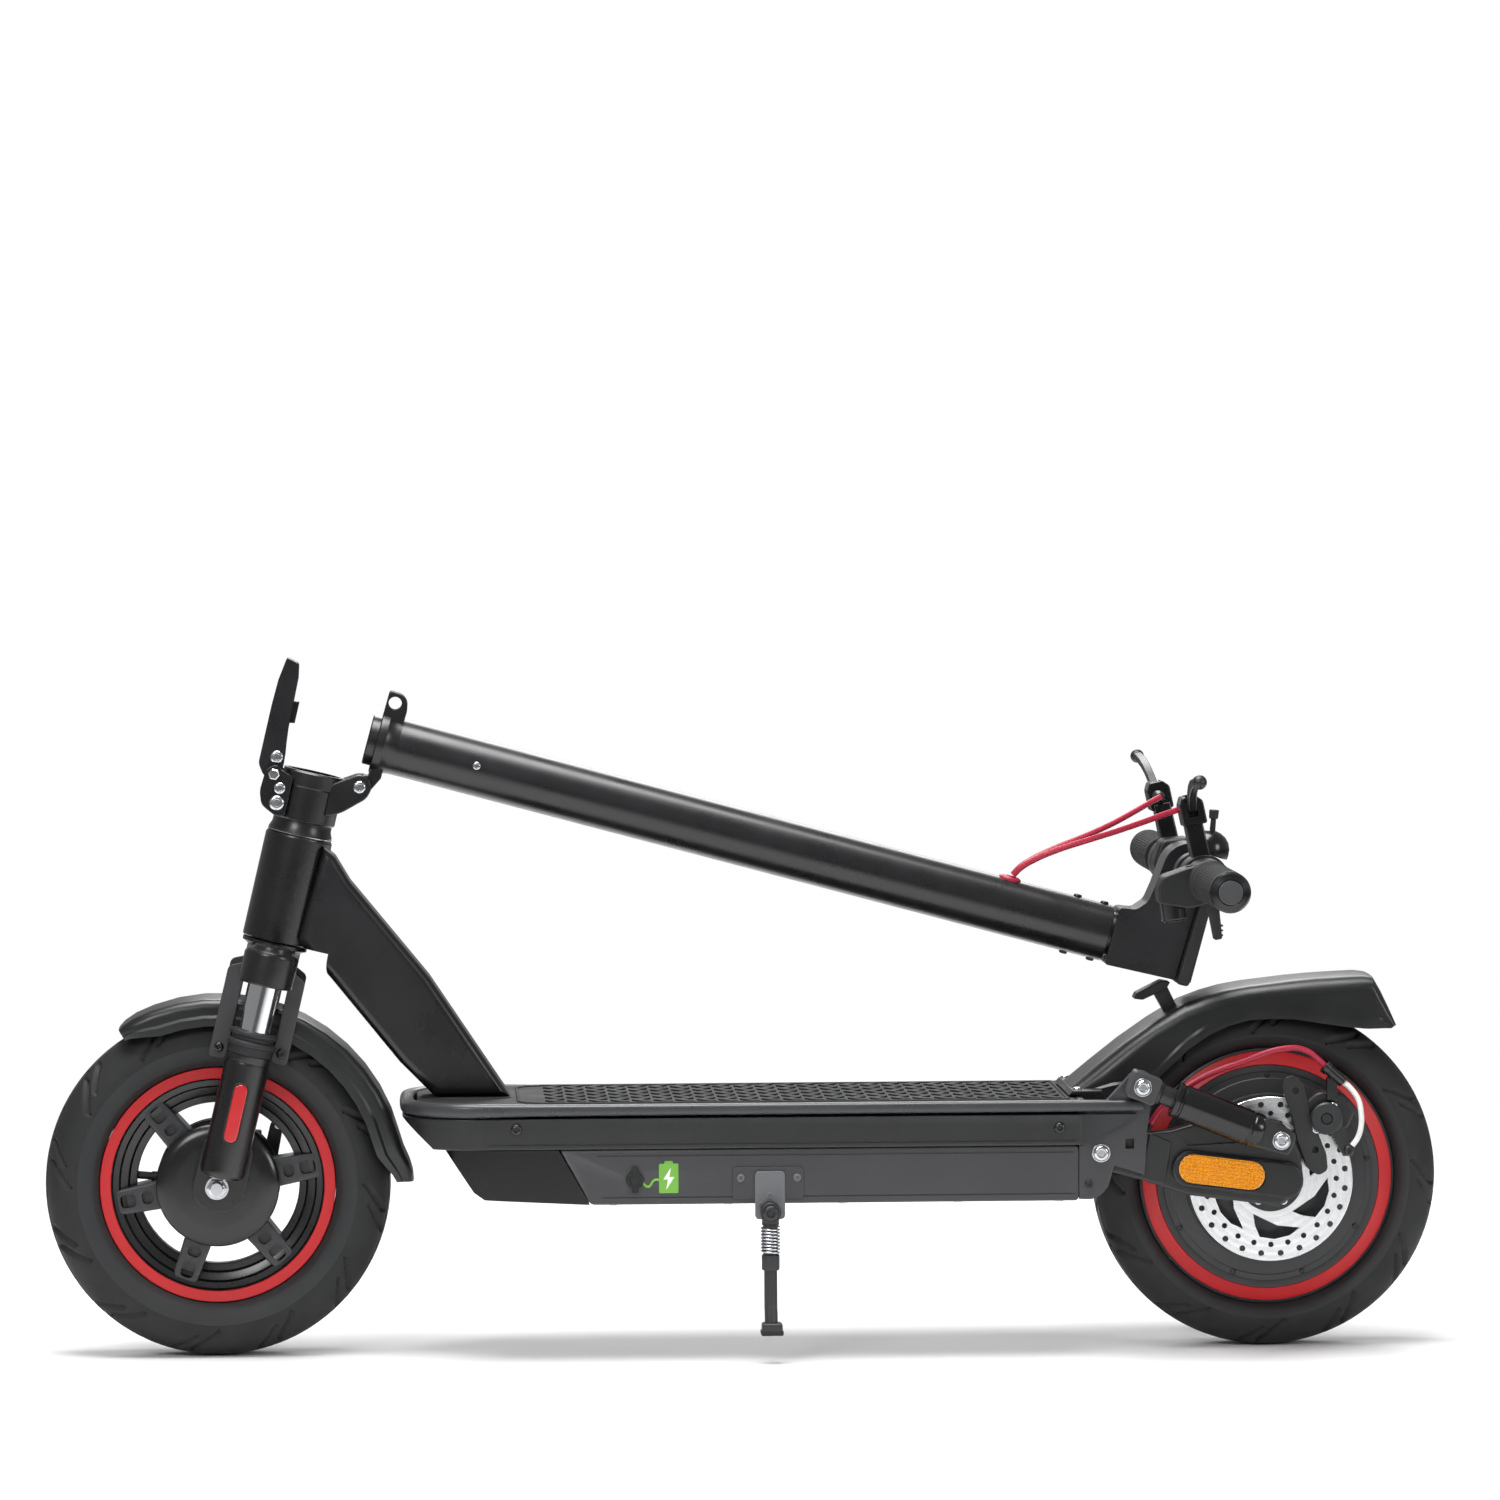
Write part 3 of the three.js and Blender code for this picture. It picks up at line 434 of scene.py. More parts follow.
def sweep(points, r=None, section=None, widths=None):
    """A round or shaped section run along a smooth line through the points."""
    line = bpy.data.curves.new("line", "CURVE")
    line.dimensions = "3D"
    line.twist_mode = "Z_UP"
    line.resolution_u = 6
    run = line.splines.new("BEZIER")
    run.bezier_points.add(len(points) - 1)
    for knot, point, width in zip(run.bezier_points, points, widths or [1] * len(points)):
        knot.co = point
        knot.radius = width
        knot.handle_left_type = knot.handle_right_type = "AUTO"
    path = bpy.data.objects.new("path", line)
    bpy.context.collection.objects.link(path)
    line.use_fill_caps = True
    ring = None
    if section:
        shape = bpy.data.curves.new("shape", "CURVE")
        shape.dimensions = "2D"
        loop = shape.splines.new("POLY")
        loop.points.add(len(section) - 1)
        for knot, (a, b) in zip(loop.points, section):
            knot.co = (a, b, 0, 1)
        loop.use_cyclic_u = True
        ring = bpy.data.objects.new("ring", shape)
        bpy.context.collection.objects.link(ring)
        line.bevel_mode = "OBJECT"
        line.bevel_object = ring
    else:
        line.bevel_depth = r
        line.bevel_resolution = 4
    made = evaluated(path)
    bpy.data.objects.remove(path)
    bpy.data.curves.remove(line)
    if ring:
        bpy.data.objects.remove(ring)
    bmesh.ops.remove_doubles(made, verts=made.verts, dist=1e-4)
    bmesh.ops.recalc_face_normals(made, faces=made.faces)
    return made


band = slab(deck_plan(-257, 250, 89, 58), 160.3, DECK_TOP, 1.2, flat=True)
band = cut(band, slab([(-266, 190.2), (-266, 150), (-222.5, 150)], -100, 100),
           block(-150, 232, -72, 72, 150, 178))
line_groove = both(block(-190, 246, -90, -88.3, 163.6, 164.8))
band = cut(band, line_groove)
fins = both(slab([(249.8, 160.3), (262, 165), (280, 174), (292, 183.5), (249.8, 183.5)],
                 -89, -85.3, 0.8, 1.5))
side_bolts = [bolt((x, s * 88.8, z), (0, s, 0), 4.2, 2.6)
              for s in (-1, 1) for x, z in ((-172, 175.6), (233.5, 173.5))]
nose_bolts = [bolt((-218, s * 82.2, 176), (-0.55, s, 0), 4, 2.4) for s in (-1, 1)]
piece("deck_band", "frame",
      [(band, dark_casting), (fins, dark_casting)]
      + [(b, black_paint) for b in side_bolts + nose_bolts], ["deck_frame"])

tray = slab([(-140, 160), (248, 160), (248, 118.5), (-117, 118.5)], -85, 85, 3.5, 3)
tray = cut(tray, block(-108, 240, -80, 80, 122, 170),
           across(-84, 137, -90, -78, 5.5),
           both(block(-112, 244, -86, -84.2, 154.6, 155.8)),
           both(block(-108, 244, -86, -84.2, 123.4, 124.4)))
tray_bolts = [bolt((x, s * 74, 118.7), (0, 0, -1), 3.4, 1.8)
              for s in (-1, 1) for x in (-100, -14, 72, 158, 234)]
tray_end = block(247.6, 250, -60, 60, 124, 154, 0.9)
cell = slab([(-66, 127), (-51.5, 127), (-51.5, 149), (-55.6, 149), (-55.6, 151), (-61.9, 151),
             (-61.9, 149), (-66, 149)], -85.25, -84.9, 0, 0.8)
spark = slab([(-57.1, 146), (-62.8, 137.2), (-59.3, 137.2), (-60.8, 129.4), (-54.6, 139),
              (-58.3, 139)], -85.4, -85.2)
lead = sweep([(-66, -85.1, 137), (-69, -85.1, 137), (-71, -85.1, 135.4), (-72.4, -85.1, 133),
              (-74.4, -85.1, 131.8), (-76.6, -85.1, 133.2), (-78.6, -85.1, 136)], 0.9)
piece("deck_tray", "frame",
      [(tray, grey_paint), (tray_end, dark_casting), (cell, green_ink), (spark, white_ink),
       (lead, green_ink)] + [(b, bright_steel) for b in tray_bolts], ["deck_base"])

nose = cut(slab(deck_plan(-232, -110, 85, 50), 100, 170, flat=True),
           slab([(-226, 160), (-140.6, 160), (-117.6, 118.5), (-196, 122.5), (-204, 128)],
                -90, 90), keep=True)
# Moulded ABS from a polished tool.
smooth_plastic = coating("moulded_abs_polished", 0x060607, 0x0a0a0b, 0.24, 2.0, 0.02)
piece("deck_nose_cap", "frame",
      [(nose, smooth_plastic)], ["deck_nose"], edge=1.6)

half_path = ([(296, -86.4), (262, -86.4), (200, -86.4), (100, -86.4), (0, -86.4),
              (-100, -86.4), (-160, -86.4)] + arc(-197, -30.4, 56, 270, 180, 10)[1:])
trim_path = [(x, y, 189.6) for x, y in half_path]
trim_path += [(x, -y, z) for x, y, z in reversed(trim_path)]
trim_widths = [1.0 + 0.3 * max(0.0, min(1.0, (-150 - x) / 62)) for x, _, _ in trim_path]
pill = (arc(0.9, 1.0, 3.3, 0, 90, 5) + arc(-0.9, 1.0, 3.3, 90, 180, 5)
        + arc(-0.9, -1.0, 3.3, 180, 270, 5) + arc(0.9, -1.0, 3.3, 270, 360, 5))
strip = sweep(trim_path, section=pill, widths=trim_widths)
tail_strip = sweep([(250.6, -81, 189.6), (250.6, 0, 189.6), (250.6, 81, 189.6)], section=pill)
piece("deck_edge_strip", "frame",
      [(strip, edge_rubber), (tail_strip, edge_rubber)], ["deck_trim"])

# The standing mat: one rubber moulding with a raised rim and arrowhead pads, and a
# raised patch round the down tube's foot.
mat = slab(deck_plan(-246, 247, 81.6, 50), DECK_TOP + 0.3, 193.6, 0.8, flat=True)
rim_line = [(241, 0), (241, 76), (-150, 76), (-164, 70), (-170, 58), (-170, -58), (-164, -70),
            (-150, -76), (241, -76), (241, 0)]
rim = together(*[sweep([(a[0], a[1], 193.6), (b[0], b[1], 193.6)], 1.2)
                 for a, b in zip(rim_line, rim_line[1:])])
# Each pad is an arrowhead that points to the front.
grip_pads = []
for column in range(24):
    for row in range(5):
        x, y = -150 + 16.2 * column, -56 + 28 * row
        grip_pads.append(slab([(x, y), (x + 8, y - 12.4), (x + 14.6, y - 12.4), (x + 6.6, y),
                               (x + 14.6, y + 12.4), (x + 8, y + 12.4)], 193.2, 194.9, 0.7,
                              flat=True))
foot_well = slab([(-243, 0), (-240, -18), (-228, -30), (-190, -31), (-175, -24), (-175, 24),
                  (-190, 31), (-228, 30), (-240, 18)], 193.2, 194.3, 0.4, 6, flat=True)
piece("deck_mat_rubber", "frame",
      [(mat, mat_rubber), (rim, mat_rubber), (together(*grip_pads), mat_rubber),
       (foot_well, mat_rubber)], ["deck_mat"])

# The charging port's rubber cap, on a strap hinged above it.
cap = together(
    turned([(0, -3.3), (3.4, -3.3), (3.8, -2.7), (5.8, -2.7), (6.6, -2), (6.6, 0), (0, 0)],
           (-84, -85.4, 137), sides=40),
    slab([(-86.6, 139), (-81.4, 139), (-81.8, 146.6), (-86.2, 146.6)], -88.2, -85.5, 0.8),
    slab([(-86, 127.5), (-82, 127.5), (-81.6, 132), (-86.4, 132)], -87.6, -85.9, 0.6))
piece("port_cap_rubber", "cap", [(cap, mat_rubber)], ["port_cap"])

# The battery and its controller fill the tray, shrink-wrapped in blue film.
cell_wrap = coating("shrink_wrapped_pvc_blue", 0x1f3f6d, 0x264a7c, 0.35, 3.0, 0.2)
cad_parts["battery_pack"].data.materials.clear()
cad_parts["battery_pack"].data.materials.append(cell_wrap)

# ---- Rear plates -----------------------------------------------------------------
# A pair of laser-cut aluminium plates bolted into the back of the tray. They carry
# the swingarm's pivot and the top bolt of each shock.
SWING = (264.8, 154)
SHOCK_TOP = (294.1, 204.7)
SHOCK_LOW = (397.6, 164.0)
plate_line = [(250.3, 160.1), (248.3, 160), (248.3, 119.5), *arc(254, 137, 18, 280, 345, 6),
              (274.9, 144.4), (297.4, 137.5), (299.7, 170.4), (304, 198),
              *arc(*SHOCK_TOP, 11, -20, 130, 10), (262, 186), (250.3, 183)]


def shock_stud(place, root, high):
    """The stud, washer and bolt that hold one end of the left shock."""
    x, z = place
    return together(across(x, z, -107, root, 4.8), across(x, z, -107.6, -106.8, 6.8, edge=0.3),
                    bolt((x, -107.5, z), (0, -1, 0), 5.8, high))


for side, place in (("left", None), ("right", MIRROR)):
    plate = cut(slab(plate_line, -84.7, -79, 0.9),
                block(283, 289.5, -90, -70, 157, 164.5))
    plate = together(plate, across(*SWING, -79.2, -64, 6))
    pivot = together(across(*SWING, -86, -84.6, 7, edge=0.4),
                     bolt((SWING[0], -85.9, SWING[1]), (0, -1, 0), 5.9, 3))
    stud = shock_stud(SHOCK_TOP, -84, 3.4)
    fixings = together(bolt((256.4, -84.6, 176), (0, -1, 0), 3, 1.8),
                       bolt((255.6, -84.6, 131), (0, -1, 0), 3, 1.8))
    parts = [(plate, grey_paint), (pivot, bright_steel), (stud, bright_steel),
             (fixings, black_paint)]
    piece(f"rear_plate_{side}_cut", "frame", parts, [f"rear_plate_{side}"],
          place)

# ---- Mudguards -------------------------------------------------------------------
# Injection-moulded shells with soft shoulders and a stiffening step along the skirt.
# The rear one is screwed to the deck, the front one hangs under the fork crown.
# Polypropylene with a fine texture, rubbed a little grey along its edges.
guard_plastic = coating("moulded_polypropylene_black", 0x121314, 0x18191a, 0.34, 0.6, 0.03,
                        worn=0x2a2b2d)
# Acrylic, red: smooth and glossy.
red_plastic = coating("acrylic_reflector_red", 0xb01018, 0xc2161f, 0.18, 0.8, 0.02, coat=0.8)


def guard_face(half, deep, soft, inset):
    """One face of a guard's wall from skirt to skirt, as (y, depth below the crown)."""
    step = min(7.0, 0.3 * deep)
    points = [(-half + inset, deep), (-half + inset, deep - step),
              (1.4 - half + inset, deep - 1.35 * step)]
    points += [(1.4 - half + soft - (soft - 0.3 * inset) * cos(a) + 0.7 * inset,
                soft - (soft - 0.3 * inset) * sin(a) + 0.7 * inset)
               for a in (0, 0.32, 0.64, 0.95, 1.25, pi / 2)]
    points += [(-half * 0.3, inset - 0.5)]
    return points + [(-y, d) for y, d in reversed(points)]


def guard(stations, wall=2.6):
    """A shell through stations of (point on the crown, point on the skirt's edge, half
    width, shoulder radius)."""
    part = bmesh.new()
    loops = []
    for (px, pz), (qx, qz), half, round_r in stations:
        deep = hypot(qx - px, qz - pz)
        down = ((qx - px) / deep, (qz - pz) / deep)
        soft = min(round_r, 0.45 * deep)
        skin = min(wall, 0.4 * deep)
        outer, inner = [guard_face(half, deep, soft, inset) for inset in (0, skin)]
        ring = [part.verts.new((px + down[0] * d, y, pz + down[1] * d))
                for y, d in outer + inner[::-1]]
        loops.append([part.edges.new(pair) for pair in zip(ring, ring[1:] + ring[:1])])
    for near, far in zip(loops, loops[1:]):
        bmesh.ops.bridge_loops(part, edges=near + far)
    for end in (loops[0], loops[-1]):
        bmesh.ops.edgeloop_fill(part, edges=end)
    bmesh.ops.recalc_face_normals(part, faces=part.faces)
    return part


rear_shell = guard([
    ((243.5, 195.8), (262, 195.6), 41, 12), ((265, 214), (284, 196), 41, 12),
    ((287.4, 231.6), (301, 197), 41, 12), ((310, 247.2), (311.5, 205), 41, 12),
    ((333.2, 261.2), (335, 227), 41, 13), ((350, 267.5), (351, 238), 41, 13),
    ((365, 271.5), (365, 244.5), 41, 13), ((381, 274.3), (381, 249), 41, 13),
    ((398, 276.3), (398, 250), 41, 13), ((415, 278.4), (416, 249.4), 41, 13),
    ((432.4, 279.9), (434, 246.5), 41, 13), ((452, 281), (453, 243.6), 41, 13),
    ((468, 281.6), (468, 242), 41, 12), ((476, 280.6), (472, 241.8), 41, 11),
    ((482, 270), (478, 241.9), 40.5, 10), ((488, 257), (484, 242), 40, 8),
    ((493.2, 244.4), (489, 241.9), 39.5, 3)])
hook = together(slab([(297, 263.5), (299, 267.8), (318, 277.3), (325, 276), (322, 271),
                      (304, 262.6)], -9, 9, 1, 1),
                slab([(311, 270), (322, 274.4), (331, 256), (322, 250)], -5, 5, 1, 1))
flange = slab([(243, 195.3), (268, 195.3), (268, 198.6), (246, 198.6)], -60, 60, 0.8)
guard_bolts = [bolt((250, y, 198.4), (0, 0, 1), 3.6, 2.2) for y in (-52, 52)]
piece("rear_mudguard_shell", "frame",
      [(rear_shell, guard_plastic), (hook, guard_plastic), (flange, guard_plastic)]
      + [(b, bright_steel) for b in guard_bolts], ["rear_mudguard"])

front_stations = []
for angle, crown_r, half in (
        (0.4, 147, 25), (3, 146.6, 29), (6, 145, 33), (10, 142, 36.5),
        *[(angle, 141, 38) for angle in range(14, 111, 8)],
        (116, 141, 37), (120, 140, 35), (121.9, 138.6, 32)):
    deep = 12 + angle if angle < 8 else 20 - 1.1 * max(0, angle - 112)
    a = radians(angle)
    front_stations.append((
        (-HALF_BASE + crown_r * cos(a), WHEEL_R + crown_r * sin(a)),
        (-HALF_BASE + (crown_r - deep) * cos(a), WHEEL_R + (crown_r - deep) * sin(a)), half, 7))
piece("front_mudguard_shell", "steerer",
      [(guard(front_stations), guard_plastic)], ["front_mudguard"])

# ---- Fork ------------------------------------------------------------------------
# A forged crown clamps two plated tubes, which slide in painted lower legs with rubber
# wipers. Each leg ends in a plate with a slot for the axle, and has a red reflector.
LEG_Y = 58
# Hard chrome on ground steel: a clear mirror.
hard_chrome = coating("hard_chromed_steel", 0xd4d6d9, 0xdfe1e3, 0.09, 1.2, 0.004, metal=1.0,
                      spread=0.03)
# Nitrile rubber, smooth and dull.
wiper_rubber = coating("nitrile_rubber_black", 0x17181a, 0x1e1f21, 0.6, 0.5, 0.03)
bridge = slab([(-19, 160), (19, 160), (21, 176), (14, 183.6), (-16, 183.6), (-21, 174)],
              -LEG_Y, LEG_Y, 0, 5)
bridge = cut(bridge, bar((0, -LEG_Y, 150), (0, -LEG_Y, 190), 19),
             bar((0, LEG_Y, 150), (0, LEG_Y, 190), 19))
crown_caps = both(turned([
    (12.4, 157), (19.4, 157), (20.5, 158.2), (20.5, 179.4), (19.2, 181.8), (15.4, 182.4),
    (15, 183), (14, 186), (12.6, 186.7), (7, 186.7), (6.4, 185.4), (0, 185.4), (0, 176),
    (12.4, 176)], (0, -LEG_Y, 0), "Z", 72))
steerer = turned([(0, 170), (24.6, 183.8), (24.6, 186.4), (16.5, 186.6), (16.5, 276.4),
                  (0, 276.4)], axis="Z")
tongue = block(-13, 13, -20, 20, 141.8, 161, 2)
strips = both(together(slab([(-30, 95), (-17, 95), (-17, 170), (-30, 164)], -40.6, -38.4,
                            0.5, 3),
                       slab([(17, 100), (29, 100), (29, 164), (17, 170)], -40.6, -38.4,
                            0.5, 3)))
strip_bolts = [bolt((p, s * 40.5, t), (0, s, 0), 3.6, 2.2)
               for s in (-1, 1) for p, t in ((-23.5, 103), (23, 108))]
crown_bolts = [bolt((p, s * 34, 183.2), (0, 0, 1), 3.4, 2) for s in (-1, 1) for p in (-6, 6)]
piece("fork_crown_forging", "steerer",
      [(bridge, black_paint), (crown_caps, black_paint), (steerer, black_paint),
       (tongue, black_paint), (strips, grey_paint)]
      + [(b, black_paint) for b in strip_bolts + crown_bolts], ["fork_crown"], STEER)
for side, y in (("left", -LEG_Y), ("right", LEG_Y)):
    tube = turned([(0, 62), (11.2, 62), (11.75, 62.8), (11.75, 175.4), (0, 175.4)],
                  (0, y, 0), "Z", 64)
    piece(f"stanchion_{side}_tube", "steerer", [(tube, hard_chrome)],
          [f"stanchion_{side}"], STEER)
    leg = turned([(0, 8.6), (9, 8.8), (14.5, 10), (16.4, 12), (17, 15), (17, 96.4),
                  (16.4, 97.4), (16.4, 99), (17, 100), (17, 103.4), (12.4, 103.4), (12.4, 50),
                  (0, 50)], (0, y, 0), "Z", 72)
    wiper = turned([(12.4, 103.6), (16.4, 103.6), (16.6, 104.2), (16.6, 109.4),
                    *[(16.8 + 1.9 * cos(radians(a)), 112 + 2.2 * sin(radians(a)))
                      for a in range(-80, 81, 20)],
                    (16, 115), (16, 117),
                    *[(16.4 + 1.9 * cos(radians(a)), 119.6 + 2 * sin(radians(a)))
                      for a in range(-80, 91, 20)], (12.4, 121.9)], (0, y, 0), "Z", 64)
    dropout = slab([(-19, 35), (-20, -6), (-14, -15), (0, -19), (14, -15), (20, -6),
                    (19, 35)], -46.5, -41, 0.9, 5)
    dropout = cut(dropout, across(-0.9, 0, -60, -30, 6.4))
    lens = slab([(-5, 38), (5, 38), (5, 82), (-5, 82)], -77, -73.4, 0.9, 4.8)
    bezel = slab([(-6.4, 36.6), (6.4, 36.6), (6.4, 83.4), (-6.4, 83.4)], -75.7, -73, 0.5, 6)
    fittings = [(dropout, black_paint), (lens, red_plastic), (bezel, black_plastic)]
    if side == "right":
        fittings = [(moved(shape, MIRROR), look) for shape, look in fittings]
    piece(f"fork_leg_{side}_lower", "fork_lower",
          [(leg, black_paint), (wiper, wiper_rubber)] + fittings, [f"fork_leg_{side}"], STEER)

# ---- Front wheel -----------------------------------------------------------------
# A cast aluminium wheel with six pocketed spokes and a painted red flange, under a
# moulded tyre. A pressed cover closes the hub's left side, a drum brake the right.
FRONT_HUB = (-HALF_BASE, 0, WHEEL_R)
# Natural rubber with carbon black: dull, with patches where road dust has dried. The
# sidewall's inner band is a little lighter.
tyre_rubber = coating("vulcanised_rubber_black", 0x0f1010, 0x161717, 0.68, 0.5, 0.06,
                      patch=26.0, spread=0.08)
wall_rubber = coating("vulcanised_rubber_sidewall", 0x1b1c1d, 0x222325, 0.62, 0.5, 0.05,
                      patch=20.0)
# Enamel on the cast wheel: the red band, the dark grey casting and the gloss black cover.
red_paint = coating("enamelled_rim_band_red", 0xb80f15, 0xc4161c, 0.45, 1.2, 0.02,
                    worn=0x8d1b22)
rim_paint = coating("coated_cast_wheel_black", 0x2a2b2d, 0x343537, 0.36, 0.8, 0.04,
                    worn=0x4a4b4e)
gloss_paint = coating("gloss_enamel_black", 0x08090a, 0x0d0e0f, 0.2, 2.4, 0.02, coat=0.2)


def tyre(profile, x, turn):
    """Half a tyre's profile of (radius, y) mirrored and spun, then cut with slanting
    grooves on its shoulders, chevrons on its crown and a ring groove between them."""
    whole = profile + [(r, -y) for r, y in reversed(profile[:-1])]
    part = turned(whole, (x, 0, WHEEL_R), sides=720)
    spots = np.array([v.co for v in part.verts])
    dx, dz, y = spots[:, 0] - x, spots[:, 2] - WHEEL_R, spots[:, 1]
    r = np.hypot(dx, dz)
    swing = np.degrees(np.arctan2(-dz, dx)) + turn
    deep = np.zeros(len(r))
    for (r0, a0), (r1, a1), half in (((111.5, 0), (125.5, 9), 1.5),
                                     ((115.5, 8), (127.6, 16), 1.3)):
        near = (swing + np.where(y < 0, 0, 15) - a0) % 30
        near = np.where(near > 22, near - 30, near)
        u, v = np.radians(near) * 120, r - r0
        u1, v1 = np.radians(a1 - a0) * 120, r1 - r0
        share = np.clip((u * u1 + v * v1) / (u1 * u1 + v1 * v1), 0, 1)
        gap = np.hypot(u - share * u1, v - share * v1)
        deep = np.maximum(deep, 2.3 * np.clip((half - gap) / 0.7 + 0.5, 0, 1))
    slant = (np.radians(swing % 15) * WHEEL_R - np.abs(y) * 0.75) % (np.radians(15) * WHEEL_R)
    chevron = (np.abs(slant - 17) < 1.5) & (np.abs(y) > 2.5) & (np.abs(y) < 15) & (r > 126)
    ring = (np.abs(np.abs(y) - 16.2) < 0.9) & (r > 126)
    deep = np.maximum(deep, np.where(chevron | ring, 2.0, 0))
    inward = 1 - deep / np.maximum(r, 1)
    spots[:, 0] = x + dx * inward
    spots[:, 2] = WHEEL_R + dz * inward
    spots[:, 1] = y * (1 - np.where(r < 128, deep, 0) * 0.5 / np.maximum(np.abs(y), 1))
    for vert, spot in zip(part.verts, spots):
        vert.co = spot
    return part


def tyre_parts(profile, x, turn, wall_r):
    """The tyre with its inner sidewall band as a separate shade of rubber."""
    part = tyre(profile, x, turn)
    wall = part.copy()
    for form, inside in ((part, False), (wall, True)):
        gone = [f for f in form.faces
                if (hypot(f.calc_center_median().x - x, f.calc_center_median().z - WHEEL_R)
                    < wall_r) != inside]
        bmesh.ops.delete(form, geom=gone, context="FACES")
    return [(part, tyre_rubber), (wall, wall_rubber)]


shoulder = [(108.5, -33), (110.5, -32.7), (112, -32.2), (113.5, -31.7), (115, -31.1),
            (116.5, -30.3), (118, -29.5), (119.5, -28.5), (121, -27.3), (122.5, -26),
            (124, -24.5), (125.4, -22.8), (126.6, -20.9), (127.6, -18.8), (128.2, -17.1),
            (128.5, -16.2), (128.8, -15.2), (129.2, -13), (129.5, -10.5), (129.7, -8),
            (129.8, -5.5), (129.9, -3), (130, -1.5), (130, 0)]
front_rubber = tyre_parts(
    [(88.7, -18), (88.8, -21), (90, -24.2), (91.6, -25.6), (92.4, -27.4), (94.5, -29.2),
     (98, -30.9), (101, -32), (104, -32.6), (105.2, -33), (106.4, -32.9)] + shoulder,
    -HALF_BASE, 0, 104.6)
piece("front_tyre_rubber", "front_wheel", front_rubber, ["front_tyre"],
      smooth=50)

barrel = turned([
    (88.5, -20.4), (80, -20.4), (79.2, -19.4), (78.6, -17.4), (74.5, -16.6), (73.6, -15.4),
    (73, -13), (68, -11.6), (66.8, -10.4), (66.2, -8), (61.6, -7), (61, -6), (61, 6),
    (61.6, 7), (66.2, 8), (66.8, 10.4), (68, 11.6), (73, 13), (73.6, 15.4), (74.5, 16.6),
    (78.6, 17.4), (79.2, 19.4), (80, 20.4), (88.5, 20.4)], FRONT_HUB, sides=120)
rim_bands = [turned([(80.2, s * 22.4), (80.6, s * 22.9), (88, s * 22.9), (88.5, s * 22.4),
                     (88.5, s * 20.3), (80.2, s * 20.3)], FRONT_HUB, sides=120)
             for s in (-1, 1)]
spoke = slab([(34, -11), (78, -9.4), (78, 9.4), (34, 11)], -17, 17, 2.2)
spoke = cut(spoke, both(slab([(50, -5), (58, -5), (58, 5), (50, 5)], -19, -12, 0, 3.4)),
            both(slab([(62.5, -5.2), (74.5, -5), (74.5, 5), (62.5, 5.2)], -19, -12, 0, 3.4)))
spokes = [moved(spoke, Matrix.Translation(FRONT_HUB)
                @ Matrix.Rotation(radians(49.6 + 60 * k), 4, "Y"), copy=True) for k in range(6)]
spoke.free()
hub = turned([(6.6, -24), (44, -24), (46, -22.6), (46, -18), (41, -15), (40, -12), (40, 12),
              (41, 15), (46, 18), (46, 22.6), (44, 24), (6.6, 24)],
             FRONT_HUB, sides=96)
valve = together(bar((-HALF_BASE - 61.2, 0, WHEEL_R + 6), (-HALF_BASE - 50, 0, WHEEL_R + 5),
                     3, edge=0.4, sides=20),
                 bar((-HALF_BASE - 50.4, 0, WHEEL_R + 5), (-HALF_BASE - 43.6, 0, WHEEL_R + 4.4),
                     3.8, edge=0.6, sides=20))
piece("front_wheel_casting", "front_wheel",
      [(barrel, black_paint)] + [(b, red_paint) for b in rim_bands]
      + [(s, rim_paint) for s in spokes] + [(hub, rim_paint), (valve, wiper_rubber)],
      ["front_casting"])
cover = turned([(6.5, -31), (9, -31), (10, -30.4), (30, -30.6), (39, -29.9), (43.6, -28.4),
                (46, -26.2), (46.5, -24.3), (6.5, -24.3)], FRONT_HUB, sides=96)
piece("front_hub_cap", "front_wheel", [(cover, gloss_paint)],
      ["front_hub_cover"])

drum = turned([(6.5, 24.6), (46.5, 24.6), (46.5, 27), (45.4, 28.4), (38, 29), (37, 30.6),
               (36, 31), (14, 31), (13, 30), (6.5, 30)], FRONT_HUB, sides=96)
drum_ribs = [moved(block(15, 36, 30, 31.4, -1.4, 1.4, 0.5),
                   Matrix.Translation(FRONT_HUB)
                   @ Matrix.Rotation(radians(30 + 60 * k), 4, "Y")) for k in range(6)]
anchor = block(-376, -364, 30.5, 39, 156, 166, 1.4)
cam = across(-362, 134, 30.5, 39.4, 4.5, edge=0.6)
piece("front_drum_plate", "fork_lower",
      [(drum, dark_casting)] + [(r, dark_casting) for r in drum_ribs]
      + [(anchor, dark_casting), (cam, bright_steel)], ["drum_plate"])
arm = slab([(-368, 127), (-362, 124.5), (-355, 128), (-347, 172), (-352, 175), (-357, 172)],
           32, 36.5, 0.9, 2.5)
arm = cut(arm, across(-362, 134, 30, 40, 5))
arm_pin = across(-351.6, 169, 31.4, 37.4, 2.8, edge=0.5)
piece("front_brake_arm_forged", "drum_arm",
      [(arm, dark_casting), (arm_pin, bright_steel)], ["front_brake_arm"])


